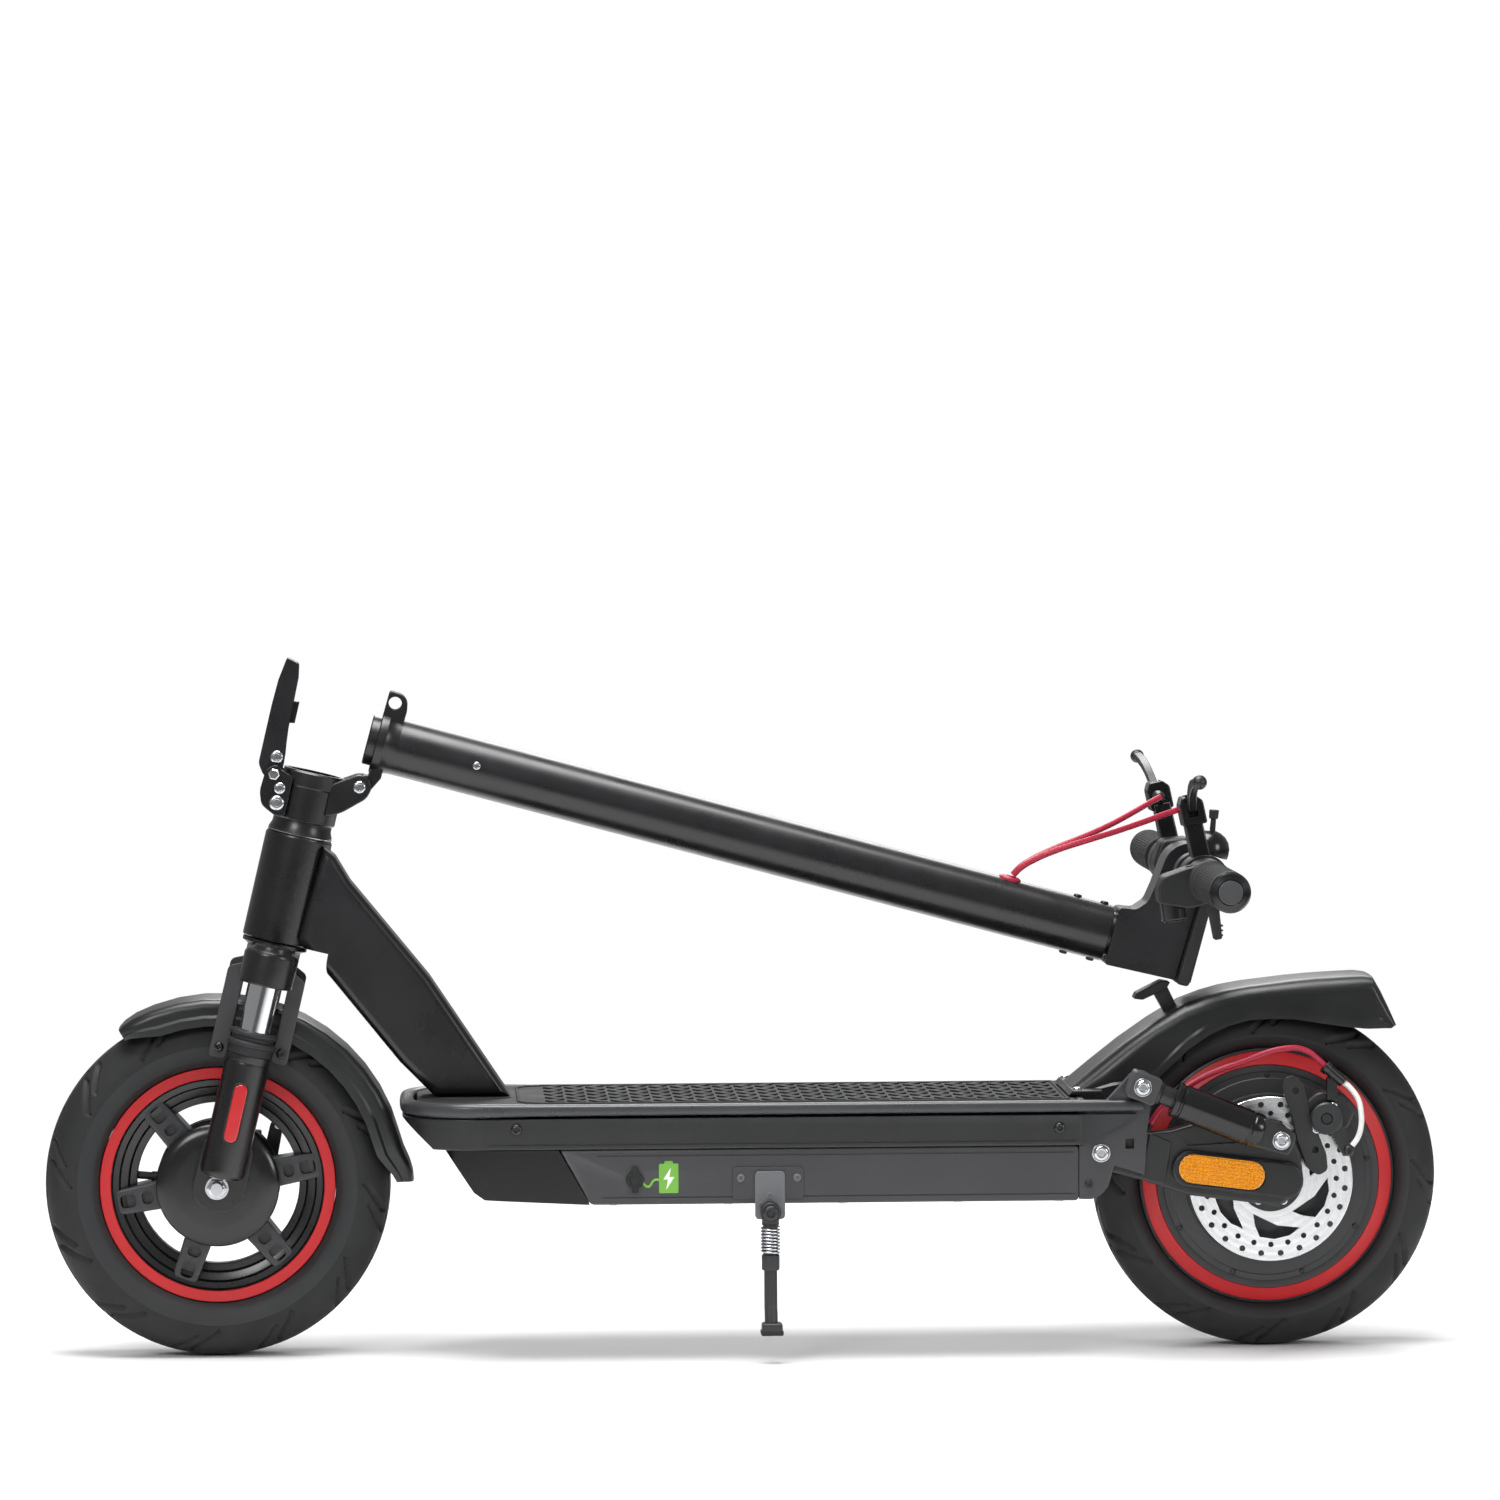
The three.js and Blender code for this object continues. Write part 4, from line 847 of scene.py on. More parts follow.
def axle_end(x, z, start, end, nut, nut_r, tip):
    """Washer, hexagon nut and threaded end on one side of an axle, out along y."""
    s = 1 if end > start else -1
    hexagon = moved(turned([(0, 0), (nut_r * 0.93, 0), (nut_r, 0.5), (nut_r, nut - 0.6),
                            (nut_r * 0.9, nut), (0, nut)], sides=6),
                    Matrix.Translation((x, start + s * 1.4, z))
                    @ (Matrix() if s > 0 else Matrix.Rotation(pi, 4, "X")))
    thread = [(0, start), (5.9, start)]
    along = start + s * (nut + 1.4)
    while (tip - along) * s > 1.2:
        thread += [(5.9, along), (5.2, along + s * 0.5)]
        along += s * 1.0
    thread += [(5.2, tip - s * 0.8), (4.4, tip), (0, tip)]
    return together(across(x, z, start, start + s * 1.5, nut_r + 1.2, edge=0.3),
                    hexagon, turned(thread, (x, 0, z), sides=32))


spacers = both(turned([(6, -40.7), (9, -40.7), (9, -36), (8.2, -35), (8.2, -31.3), (6, -31.3)],
                      FRONT_HUB, sides=40))
axle = together(across(-HALF_BASE, WHEEL_R, -47, 47, 5.8), spacers,
                *[axle_end(-HALF_BASE, WHEEL_R, s * 46.7, s * 57, 5.2, 7.6, s * 57)
                  for s in (-1, 1)])
piece("front_axle_nuts", "fork_lower", [(axle, bright_steel)], ["front_axle"])

# ---- Folding joint ---------------------------------------------------------------
# A machined block clamped on top of the steering head, with the stem's hinge pin behind
# and a folding latch in front: two side plates, a front wall and a hook inside.
# Places as (distance behind the steering axis, height along it).
PIN = (36, 315)
LATCH = (-28.7, 310.5)
fold_cup = turned([
    (17.2, 280), (23.4, 280), (24.2, 281), (24.2, 305.4), (25, 306.6), (25, 316.4), (24, 317.7),
    (19.8, 317.7), (19.8, 309.6), (0, 309.6), (0, 300), (17.2, 300)], axis="Z", sides=96)
fold_arm = slab([(15, 287), (27, 293), (43, 307.5), (45.4, 315.6), (41.6, 323.6), (34, 324.6),
                 (14, 312)], 12, 20, 1.2, 3)
fold_ear = slab([(-14, 281), (-22, 280.5), (-33, 286), (-36.5, 296), (-35.5, 313),
                 (-28.7, 318.5), (-22, 314), (-14, 312)], 18.8, 22.8, 0.8, 3)
fold_cup = cut(fold_cup, block(26, 60, -12, 12, 285, 340),
               block(-60, -22.5, -18.7, 18.7, 298, 340))
pin_hole = across(*PIN, -40, 40, 4.4)
fold_arms = cut(both(fold_arm), bar((0, 0, 309.6), (0, 0, 340), 19.8), pin_hole)
fold_ears = both(fold_ear)
collar_bolts = [bolt((p, s * y, t), (0, s, 0), r, 2.4) for s in (-1, 1)
                for p, t, r, y in ((-22.2, 301.2, 4.6, 22.7), (-21.9, 289.9, 5.8, 22.7))]
stubs = both(across(*LATCH, -24, -13.2, 3.6, edge=0.3))
latch_nuts = both(turned([(0, -25.4), (3.4, -25.4), (4.4, -24.8), (4.4, -22.8), (0, -22.8)],
                         (LATCH[0], 0, LATCH[1]), sides=6))
piece("fold_block", "steerer",
      [(fold_cup, black_paint), (fold_arms, black_paint), (fold_ears, black_paint),
       (stubs, bright_steel), (latch_nuts, bright_steel)]
      + [(b, bright_steel) for b in collar_bolts], ["fold_base"], STEER)
hinge = together(across(*PIN, -21, 21, 4),
                 bolt((PIN[0], -20.2, PIN[1]), (0, -1, 0), 4.8, 2),
                 bolt((PIN[0], 20.2, PIN[1]), (0, 1, 0), 4.8, 2))
piece("fold_hinge_pin", "steerer", [(hinge, bright_steel)], ["fold_pin"],
      STEER)

latch_plate = slab([(-33, 306), (-37, 308.6), (-42, 316), (-42, 361), (-41.3, 380),
                    (-38.7, 397.6), (-29, 395.3), (-27, 384), (-26, 345), (-25, 334),
                    (-24, 326), (-23.5, 318), (-24, 309)], 14, 18, 0.9, 2.4)
latch_wall = slab([(-42, 342), (-42, 361), (-41.3, 380), (-38.7, 397.6), (-29, 395.3),
                   (-34, 384), (-38, 361), (-38.5, 342)], -14.2, 14.2, 0, 1.2)
latch_hook = slab([(-38.4, 366.4), (-31.9, 365.6), (-22.2, 367.2), (-22.2, 350.6),
                   (-26, 350), (-27.6, 358), (-38.4, 357)], -5, 5, 0.6)
latch_hole = across(*LATCH, -30, 30, 4)
cross_bolt = both(bolt((-29.5, -17.8, 323.4), (0, -1, 0), 5, 2.4))
cheeks = cut(both(latch_plate), latch_hole)
piece("latch_lever_plates", "latch",
      [(cheeks, black_paint), (latch_wall, black_paint), (latch_hook, black_paint),
       (cross_bolt, bright_steel)], ["latch_lever"], STEER)

# ---- Stem ------------------------------------------------------------------------
# A round aluminium tube pressed into a cast flange, which turns on the hinge pin and
# carries the two ears that the latch's hook catches.
SLOPE = radians(15.14)
# The tube's middle runs this far off the hinge pin.
PIN_P = 36
pin_at = STEER @ Vector((PIN[0], 0, PIN[1]))
STEM = Matrix.Translation(pin_at) @ Matrix.Rotation(SLOPE, 4, "Y")
boss = turned([(0, -3.3), (18.2, -3.3), (19, -2.5), (19, 3.3), (23.2, 3.3), (24, 4.1),
               (24, 9.4), (23.6, 10.4), (22.6, 12.6), (21.9, 15.6), (21.5, 19.8), (0, 19.8)],
              (0, 0, PIN_P), "X", 96)
knuckle = slab([*arc(0, 0, 8, 100, 330, 12), (14, 10), (14, 20), (4, 20), (4, 10)],
               -11.6, 11.6, 0.8)
knuckle = cut(knuckle, across(0, 0, -20, 20, 4.3))
ear = slab([(3.2, 48), (19.4, 48), (20.2, 64), (18.6, 71.4), (13.6, 75.4), (3.6, 76)], 8, 12.5,
           1, 2.4)
ear = cut(ear, across(9.9, 67.5, 0, 20, 5))
boss = cut(boss, block(-20, 3.1, -40, 40, -20, 14))
flange_bolts = [bolt((9.3, 21 * sin(a), PIN_P + 21 * cos(a)), (1, 0, 0), 2.6, 1.8)
                for a in (radians(70), radians(110), radians(-70), radians(-110))]
piece("stem_flange_casting", "stem",
      [(boss, black_paint), (knuckle, black_paint), (both(ear), black_paint)]
      + [(b, black_paint) for b in flange_bolts], ["stem_flange"], STEM)
STEM_R = 21.5
stem_tube = turned([(17.9, 19.9), (STEM_R, 19.9), (STEM_R, 575.4), (21.1, 575.8),
                    (17.9, 575.8)], (0, 0, PIN_P), "X", 120)
clamp_bolts = [bolt((s, 0, PIN_P + side * 21.3), (0, 0, side), 3.2, 2)
               for s in (547, 568) for side in (-1, 1)]
side_screws = [bolt((81, s * 21.4, PIN_P + 2), (0, s, 0), 3.2, 1.8) for s in (-1, 1)]
piece("stem_tube_drawn", "stem",
      [(stem_tube, black_paint)] + [(b, black_paint) for b in clamp_bolts]
      + [(b, bright_steel) for b in side_screws], ["stem_tube"], STEM)
# Rubber grommets where the two cables come out of the tube.
grommets = both(moved(turned([(2.4, 19.4), (5.4, 19.4), (5.8, 20.6), (5.4, 22.6),
                              (4.2, 23.6), (2.4, 23.6)], sides=32),
                      Matrix.Translation((493.6, 0, PIN_P)) @ Matrix.Rotation(
                          radians(98), 4, "X") @ Matrix.Diagonal((1.5, 1, 1, 1))))
# Coloured PVC over a steel liner, glossy.
cable_red = coating("extruded_pvc_crimson", 0x9a1230, 0xa81a38, 0.42, 0.8, 0.01, patch=20.0)
piece("stem_grommets", "stem", [(grommets, cable_red)], (), STEM)

# ---- Handlebar -------------------------------------------------------------------
# A cast head on the end of the stem clamps the bar and carries the display. The bar
# has diamond-knurled rubber grips with bevelled end caps.
BAR_X, BAR_Z = 339, 361
BAR_R = 11
head_line = [(285.5, 333.5), (298, 332), (307, 338), (312.5, 350),
             *arc(BAR_X, BAR_Z, 21, 165, -40, 16), (345, 338.5), (326.6, 278.5),
             (273.8, 290.8)]
head = slab(head_line, -22, 22, 5, 4, segments=5)
head = cut(head, across(BAR_X, BAR_Z, -50, 50, BAR_R + 0.3, sides=48),
           both(block(316, 362, -24, -21.2, 360.4, 361.6)))
spigot = bar(STEM @ Vector((556, 0, PIN_P)), STEM @ Vector((590, 0, PIN_P)), 17)
piece("handlebar_head_casting", "stem",
      [(head, black_paint), (spigot, black_paint)], ["handlebar_head"])
# Display window: polycarbonate, clear coated over black.
glass = coating("polycarbonate_window_black", 0x07080a, 0x0b0c0f, 0.07, 4.0, 0.004, coat=1.0)
# Printed ink, pale grey: the figures on the display.
lit_ink = coating("printed_ink_grey", 0x8f9296, 0x9a9da1, 0.5, 0.5, 0.01)
screen_line = [(345.5, 338), (353.2, 335.8), (336.2, 274), (327.2, 276.2)]
screen = slab(screen_line, -34, 34, 1.6, 2.5)
away = Vector((353.9 - 336.9, 0, 335.6 - 273.8)).normalized()
SCREEN = Matrix.Translation((344.8, 0, 304.9)) @ Matrix.Rotation(
    atan2(away.x, away.z), 4, "Y")
window = moved(block(-0.6, 0.9, -31, 31, -29, 29, 0.5), SCREEN)
key = moved(bar((0.6, 0, -22.5), (2, 0, -22.5), 5.2, edge=0.5), SCREEN)
marks = together(*[moved(block(0.8, 1.0, y, y + w, z, z + h), SCREEN) for y, w, z, h in (
    (-16, 3, 2, 14), (-16, 12, 14, 2.4), (-7, 3, 2, 14), (-16, 12, 1, 2.4),
    (2, 3, 2, 14), (2, 12, 14, 2.4), (11, 3, 2, 14), (2, 12, 1, 2.4), (-12, 24, -8, 1.4))])
piece("display_unit", "stem",
      [(screen, black_plastic), (window, glass), (key, wiper_rubber), (marks, lit_ink)],
      ["display"])
handle = turned([(0, -290), (BAR_R, -290), (BAR_R, 290), (0, 290)], (BAR_X, 0, BAR_Z),
                sides=64)
piece("handlebar_tube", "stem", [(handle, black_paint)], ["handlebar"])
# Grip rubber: dull and soft, knurled by its mould.
grip_rubber = coating("moulded_grip_rubber", 0x141516, 0x1b1c1e, 0.7, 0.4, 0.04)
# Anodised aluminium, dark grey with a satin sheen.
disc_grey = coating("anodised_aluminium_dark", 0x4a4b4d, 0x525355, 0.4, 0.6, 0.01,
                    metal=0.4)
for side, s in (("left", -1), ("right", 1)):
    profile = [(11.4, 166), (15.2, 166), (15.9, 167), (15.9, 171.5), (15.2, 172.4),
               (14.6, 172.8)]
    profile += [(14.6, 173 + 0.75 * k) for k in range(150)]
    profile += [(14.6, 286), (15, 286.4), (11.4, 286.4)]
    sleeve = turned(profile, (BAR_X, 0, BAR_Z), sides=144)
    for vert in sleeve.verts:
        y = vert.co.y
        if 174 < y < 285 and hypot(vert.co.x - BAR_X, vert.co.z - BAR_Z) > 13:
            turn = atan2(vert.co.z - BAR_Z, vert.co.x - BAR_X) / (2 * pi) * 24
            rise = y / 4.2
            peak = (abs((turn + rise) % 1 - 0.5) + abs((turn - rise) % 1 - 0.5)) * 0.7
            fade = min(1, (y - 174) / 3, (285 - y) / 3)
            scale = 1 + 2.2 * (peak - 0.35) * fade / 14.6
            vert.co.x = BAR_X + (vert.co.x - BAR_X) * scale
            vert.co.z = BAR_Z + (vert.co.z - BAR_Z) * scale
    end_ring = turned([(11.4, 286.6), (15, 286.6), (15, 291), (13.6, 293.6), (9.6, 294.8),
                       (9, 294.2), (0, 294.2), (0, 290.4), (11.4, 290.4)],
                      (BAR_X, 0, BAR_Z), sides=72)
    end_disc = turned([(0, 294.1), (8.8, 294.1), (8.8, 294.6), (8.2, 294.9), (0, 294.9)],
                      (BAR_X, 0, BAR_Z), sides=48)
    parts = [(sleeve, grip_rubber), (end_ring, gloss_paint), (end_disc, disc_grey)]
    piece(f"grip_{side}_knurled", "stem", parts, [f"grip_{side}"],
          MIRROR if s < 0 else None, smooth=24)

# ---- Levers, bell, switches and throttle -----------------------------------------
# Cast brake levers pivot in moulded clamps. The left clamp has the bell beside it, the
# right one the switch pod. The thumb throttle turns on its own ring by the left grip.
BAR_HOLE = (BAR_X, BAR_Z, -170, 170, BAR_R + 0.3)
# The levers and their clamps are drawn upright, then turned back round the bar.
LEAN = (Matrix.Translation((BAR_X, 0, BAR_Z)) @ Matrix.Rotation(radians(-12), 4, "Y")
        @ Matrix.Translation((-BAR_X, 0, -BAR_Z)))
clamp_ring = turned([(0, -122), (17, -122), (18, -121), (18, -101), (17, -100), (0, -100)],
                    (BAR_X, 0, BAR_Z), sides=64)
clamp_ring = cut(moved(clamp_ring, LEAN), across(*BAR_HOLE))
clamp_post = slab([(333, 371), (347, 371), (346.4, 407), (333.6, 407)], -121.4, -100.6, 1.4)
jaws = slab([(331, 402), (349, 402), (349, 419), (344, 424), (334, 424), (331, 418)],
            -132, -106, 1.2, 1.6)
jaws = cut(jaws, block(336.4, 343.6, -140, -112, 408.5, 430))
clamp_post = cut(moved(together(clamp_post, jaws), LEAN), across(*BAR_HOLE))
clamp_steel = moved(together(
    bar((333.6, -124, 414), (346.4, -124, 414), 2.6, sides=24),
    bolt((333, -124, 414), (-1, 0, 0), 3.6, 1.6), bolt((347, -124, 414), (1, 0, 0), 3.6, 1.6),
    bolt((339, -111, 343.2), (0, 0, -1), 3, 1.6)), LEAN)
adjuster = moved(turned([
    (0, -108), (4.5, -108), (4.5, -104.6), (3.6, -104), (3.6, -102.8), (4.7, -102.2),
    (4.7, -100.2), (4.2, -99.8), (4.7, -99.4), (4.7, -97.4), (4.2, -97), (4.7, -96.6),
    (4.7, -94.6), (3.4, -92.2), (3, -89.4), (0, -89.4)], (338, 0, 413), sides=32), LEAN)
right_clamp = [moved(shape, MIRROR, copy=True)
               for shape in (clamp_post, clamp_ring, clamp_steel, adjuster)]
belt = cut(turned([(0, -64), (15.6, -64), (16, -63.4), (16, -48.6), (15.6, -48), (0, -48)],
                  (BAR_X, 0, BAR_Z), sides=56), across(*BAR_HOLE))
dome = moved(turned([(0, 14), (3, 16), (15, 16.2), (16, 17), (16, 20), (15.2, 24.6),
                     (13, 28.8), (9.4, 32), (5, 33.8), (0, 34.4)], axis="Z", sides=56),
             Matrix.Translation((BAR_X + 3, -56, BAR_Z)) @ Matrix.Rotation(radians(20), 4, "Y"))
striker = together(bar((352, -56, 393), (353, -56, 404), 2.2, 2, 0.4, 20),
                   bar((352.8, -56, 402), (353.4, -56, 409), 3.4, 3.8, 1, 24))
link = block(336, 344, -101, -63, 368, 377, 1.6)
piece("left_clamp_and_bell", "stem",
      [(clamp_post, gloss_paint), (clamp_ring, black_plastic), (clamp_steel, black_paint),
       (adjuster, black_paint), (belt, black_plastic), (dome, gloss_paint),
       (striker, black_plastic), (cut(link, across(*BAR_HOLE)), black_plastic)],
      ["lever_mount_left"])
pod = slab([(324, 344), (354, 344), (358, 366), (348, 382), (326, 380), (320, 362)],
           66, 96, 3, 4)
pod = cut(pod, across(*BAR_HOLE))
pod_bridge = cut(block(332, 346, 95, 101, 366, 377, 1), across(*BAR_HOLE))
switches = together(bar((355.4, 74, 352), (358, 74, 351.4), 4, 3.6, 0.6, 24),
                    bar((356.4, 88, 358), (359, 88, 357.4), 4, 3.6, 0.6, 24))
piece("right_clamp_and_switches", "stem",
      [(right_clamp[0], gloss_paint), (right_clamp[1], black_plastic),
       (right_clamp[2], black_paint), (right_clamp[3], black_paint), (pod, black_plastic),
       (pod_bridge, black_plastic), (switches, red_plastic)], ["lever_mount_right"])

# The blade's outline is (distance from the middle of the bar, height).
blade = moved(slab([(118, 417), (122, 410.5), (128, 410.5), (139, 415.4), (150, 421),
                    (166, 427.4), (185, 432), (206, 434.8), (226, 436), (226, 442),
                    (205, 441.2), (184, 439), (165, 434.8), (148, 429), (128, 419.5)],
                   0, 6, 1.0),
              Matrix.Translation((337, 0, 0)) @ Matrix.Rotation(-pi / 2, 4, "Z"))
blade = moved(cut(blade, bar((330, -124, 414), (350, -124, 414), 2.9)), LEAN)
knob = bmesh.new()
bmesh.ops.create_uvsphere(knob, u_segments=28, v_segments=16, radius=5.4)
knob = moved(knob, LEAN @ Matrix.Translation((340, -228, 439)))
for side, s in (("left", 1), ("right", -1)):
    parts = [(blade.copy(), dark_casting), (knob.copy(), dark_casting)]
    piece(f"brake_lever_{side}_blade", f"{side}_lever", parts,
          [f"brake_lever_{side}"], MIRROR if s < 0 else None)
blade.free()
knob.free()

house = turned([(0, -160), (15, -160), (16, -159), (16, -151), (13.4, -151), (13.4, -139),
                (16, -139), (16, -129), (15, -128), (0, -128)], (BAR_X, 0, BAR_Z), sides=64)
# The thumb paddle swings in this room: x, y and z from low to high.
PADDLE_ROOM = (322.4, 390, -151, -139, 310, 410)
sensor_case = cut(slab([(301, 345), (301, 357), (304, 364.5), (322, 371), (339, 375),
                        (339, 345), (324, 341)], -158, -130, 1.6, 2.4),
                  block(*PADDLE_ROOM), across(*BAR_HOLE))
canister = together(bar((314, -145, 332.4), (311.5, -145, 352), 10, edge=1.2, sides=56),
                    bar((314.2, -145, 331), (314, -145, 333), 8.2, edge=0.6, sides=56))
canister = cut(canister, block(*PADDLE_ROOM))
piece("throttle_housing", "stem",
      [(cut(house, across(*BAR_HOLE)), black_plastic), (sensor_case, black_plastic),
       (canister, gloss_paint)], ["throttle_body"])
ring = turned([(13.9, -150.5), (15.6, -150.5), (16, -150), (16, -140), (15.6, -139.5),
               (13.9, -139.5)], (BAR_X, 0, BAR_Z), sides=64)
paddle = slab([(337, 348), (346, 348), (349, 318), (343, 317)], -150.5, -139.5, 1.6, 1.6)
paddle = cut(paddle, across(BAR_X, BAR_Z, -160, -130, 13.9))
ribs = together(*[block(348.2, 349.6, -149, -141, z, z + 1.4, 0.4) for z in (320, 323.5, 327)])
piece("throttle_thumb_paddle", "paddle",
      [(ring, black_plastic), (paddle, black_plastic), (ribs, black_plastic)],
      ["throttle_paddle"])

# ---- Brake cables on the stem ----------------------------------------------------
# Two crimson cable casings leave the stem together and fork out to the levers, held
# at both ends and stiff enough to stand up between them.
CASING_R = 2.3


def casing(name, body, points, stands_for):
    """One brake cable's casing: a smooth curve."""
    line = bpy.data.curves.new(name, "CURVE")
    line.dimensions = "3D"
    line.resolution_u = 10
    line.bevel_depth = CASING_R / 1000
    line.bevel_resolution = 4
    line.use_fill_caps = True
    run = line.splines.new("BEZIER")
    run.bezier_points.add(len(points) - 1)
    for knot, point in zip(run.bezier_points, points):
        knot.co = [c / 1000 for c in point]
        knot.handle_left_type = knot.handle_right_type = "AUTO"
    line.materials.append(cable_red)
    made = bpy.data.objects.new(name, line)
    bpy.context.collection.objects.link(made)
    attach(made, body)
    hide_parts(*stands_for)


arch = [(206.4, -3.2, 357.8), (212, -4.6, 363.4), (223, -7.5, 370), (239, -12, 377),
        (260, -21, 384.4), (281, -36, 392), (301, -56, 400.4), (318, -75, 408),
        (324.6, -83, 410.8), (327.2, -87.5, 411.7)]
for side, s in (("left", 1), ("right", -1)):
    casing(f"brake_cable_{side}", "stem", [(x, s * y, z) for x, y, z in arch],
           [f"stem_cable_{side}"])

# ---- Swingarm --------------------------------------------------------------------
# Two aluminium side arms joined by a cross member swing on the rear plates' pivots. A
# moulded cover with an amber prism reflector is clipped over each axle end.
arm_line = [(252, 146), (252, 166), (276, 168.5), (302, 168.2), (318.5, 170), (340, 176),
            (377, 172), (388, 172), (393, 176), (403, 174), (409, 166), (416, 150), (418, 126),
            (400, 112), (330, 121), (296, 132.5), (262, 142)]
swing_arm = slab(arm_line, -78, -62, 2.4, 3)
swing_arm = cut(swing_arm, across(*SWING, -100, -50, 6.4),
                across(HALF_BASE, WHEEL_R, -100, -50, 7.3),
                slab([(326, 164), (338, 169.5), (372, 166), (376, 160.5), (330, 158)],
                     -80, -75.6, 0, 2))
cross_pad = slab([(302, 168), (318.5, 161), (313, 129), (294, 135)], -79.6, -77.6, 0.7, 2)
cross_member = block(252.2, 262, -63, 63, 147, 165, 2)
low_stud = shock_stud(SHOCK_LOW, -77, 3.2)
tab = block(405, 428, -65.7, -62, 146, 162, 1)
piece("swingarm_arms", "swingarm",
      [(both(swing_arm), dark_casting), (both(cross_pad), dark_casting),
       (cross_member, dark_casting), (both(low_stud), bright_steel), (tab, dark_casting)],
      ["swingarm"])
rear_axle = together(across(HALF_BASE, WHEEL_R, -66, 66, 6.8),
                     across(HALF_BASE, WHEEL_R, -77.4, -60, 6.8, edge=0.8),
                     across(HALF_BASE, WHEEL_R, 60, 77.4, 6.8, edge=0.8))
piece("rear_axle_shaft", "swingarm", [(rear_axle, bright_steel)],
      ["rear_axle"])

# Acrylic, amber: glossy, with a field of prisms that breaks up the light.
amber = coating("acrylic_reflector_amber", 0xe08a08, 0xf0a21c, 0.16, 1.2, 0.02, coat=1.0,
                patch=6.0)
shield_line = [*arc(332, 141, 14, 70, 250, 14), *arc(403, 132, 14, -110, 70, 14)]
# The reflector lies along the line between the two rounded ends.
LENS = (Matrix.Translation((355.5, 0, 138.7))
        @ Matrix.Rotation(-atan2(132 - 141, 403 - 332), 4, "Y"))
shield = slab(shield_line, -85.4, -78.3, 2.2, segments=4)
recess = moved(slab([(-33.4, -11.6), (33.4, -11.6), (33.4, 11.6), (-33.4, 11.6)], -90, -83.6, 0,
                    11), LENS)
shield = cut(shield, recess)
lens_base = moved(slab([(-32.5, -10.8), (32.5, -10.8), (32.5, 10.8), (-32.5, 10.8)], -84.8,
                       -83.7, 0.3, 10.4), LENS)
prisms = []
for column in range(24):
    for row in range(8):
        a, b = 2.6 * (column - 11.5), 2.6 * (row - 3.5)
        if hypot(max(0, abs(a) - 22), b) < 9.6:
            prism = bmesh.new()
            bmesh.ops.create_cone(prism, cap_ends=True, segments=4, radius1=1.7, radius2=0.2,
                                  depth=1.1)
            prisms.append(moved(prism, LENS @ Matrix.Translation((a, -85.3, b))
                                @ Matrix.Rotation(pi / 2, 4, "X")
                                @ Matrix.Rotation(pi / 4, 4, "Z")))
reflector = [(shield, guard_plastic), (lens_base, amber), (together(*prisms), amber)]
piece("reflector_right_cover", "swingarm",
      [(shape.copy(), look) for shape, look in reflector], ["reflector_right"], MIRROR)
piece("reflector_left_cover", "swingarm", reflector, ["reflector_left"])

# ---- Rear wheel ------------------------------------------------------------------
# The tyre sits on a cast hub motor with pressed side covers and a painted red band.
# A drilled steel disc is screwed to its left side.
REAR_HUB = (HALF_BASE, 0, WHEEL_R)
rear_rubber = tyre_parts(
    [(96.7, -20), (96.8, -22.4), (98.4, -25.6), (99.6, -27), (100.4, -28.8), (102.4, -30.6),
     (104.6, -31.9), (106.4, -32.8), (107.6, -33)] + shoulder, HALF_BASE, 6, 107)
piece("rear_tyre_rubber", "rear_wheel", rear_rubber, ["rear_tyre"], smooth=50)
motor = turned([
    (7.4, -37.8), (14, -37.8), (15, -36.8), (24, -36.8), (25, -37.8), (38, -37.8),
    (41, -37.2), (60, -34), (62.4, -33.8), (63.4, -32.6), (74, -31.4), (75, -30.6),
    (79, -30.4), (80, -31), (84.2, -31), (84.2, -24), (94.8, -22), (94.8, -25.4),
    (96.6, -24.4), (96.6, 24.4), (94.8, 25.4), (94.8, 22), (84.2, 24), (84.2, 31), (80, 31),
    (79, 30.4), (75, 30.6), (74, 31.4), (63.4, 32.6), (62.4, 33.8),
    (60, 34), (41, 37.2), (38, 37.8), (7.4, 37.8)], REAR_HUB, sides=144)
motor_bands = [turned([(84.4, s * 30.4), (85, s * 30.9), (94, s * 26.4), (94.6, s * 25.8),
                       (94.6, s * 22.4), (84.4, s * 23.6)], REAR_HUB, sides=144)
               for s in (-1, 1)]
cover_screws = [bolt((HALF_BASE + 77 * cos(radians(a)), s * 30.3,
                      WHEEL_R + 77 * sin(radians(a))), (0, s, 0), 2.2, 1.2)
                for s in (-1, 1) for a in range(10, 360, 40)]
# Satin enamel, dark grey, on the cast motor shell.
shell_paint = coating("coated_cast_motor_shell", 0x29292b, 0x313234, 0.36, 0.9, 0.05,
                      worn=0x37383b)
piece("rear_motor_shell", "rear_wheel",
      [(motor, shell_paint)] + [(b, red_paint) for b in motor_bands]
      + [(b, black_paint) for b in cover_screws], ["rear_motor"])
# Stainless steel, ground in circles: bright with fine rings that stretch the highlights.
disc_steel = bpy.data.materials.new("ground_stainless_steel")
disc_steel.use_nodes = True
tree = disc_steel.node_tree
spot = add(tree, "ShaderNodeMapping", {"vector_type": "POINT"}, {
    "Vector": add(tree, "ShaderNodeTexCoord").outputs["Object"],
    "Location": (-0.396, 0, -0.13)}).outputs["Vector"]
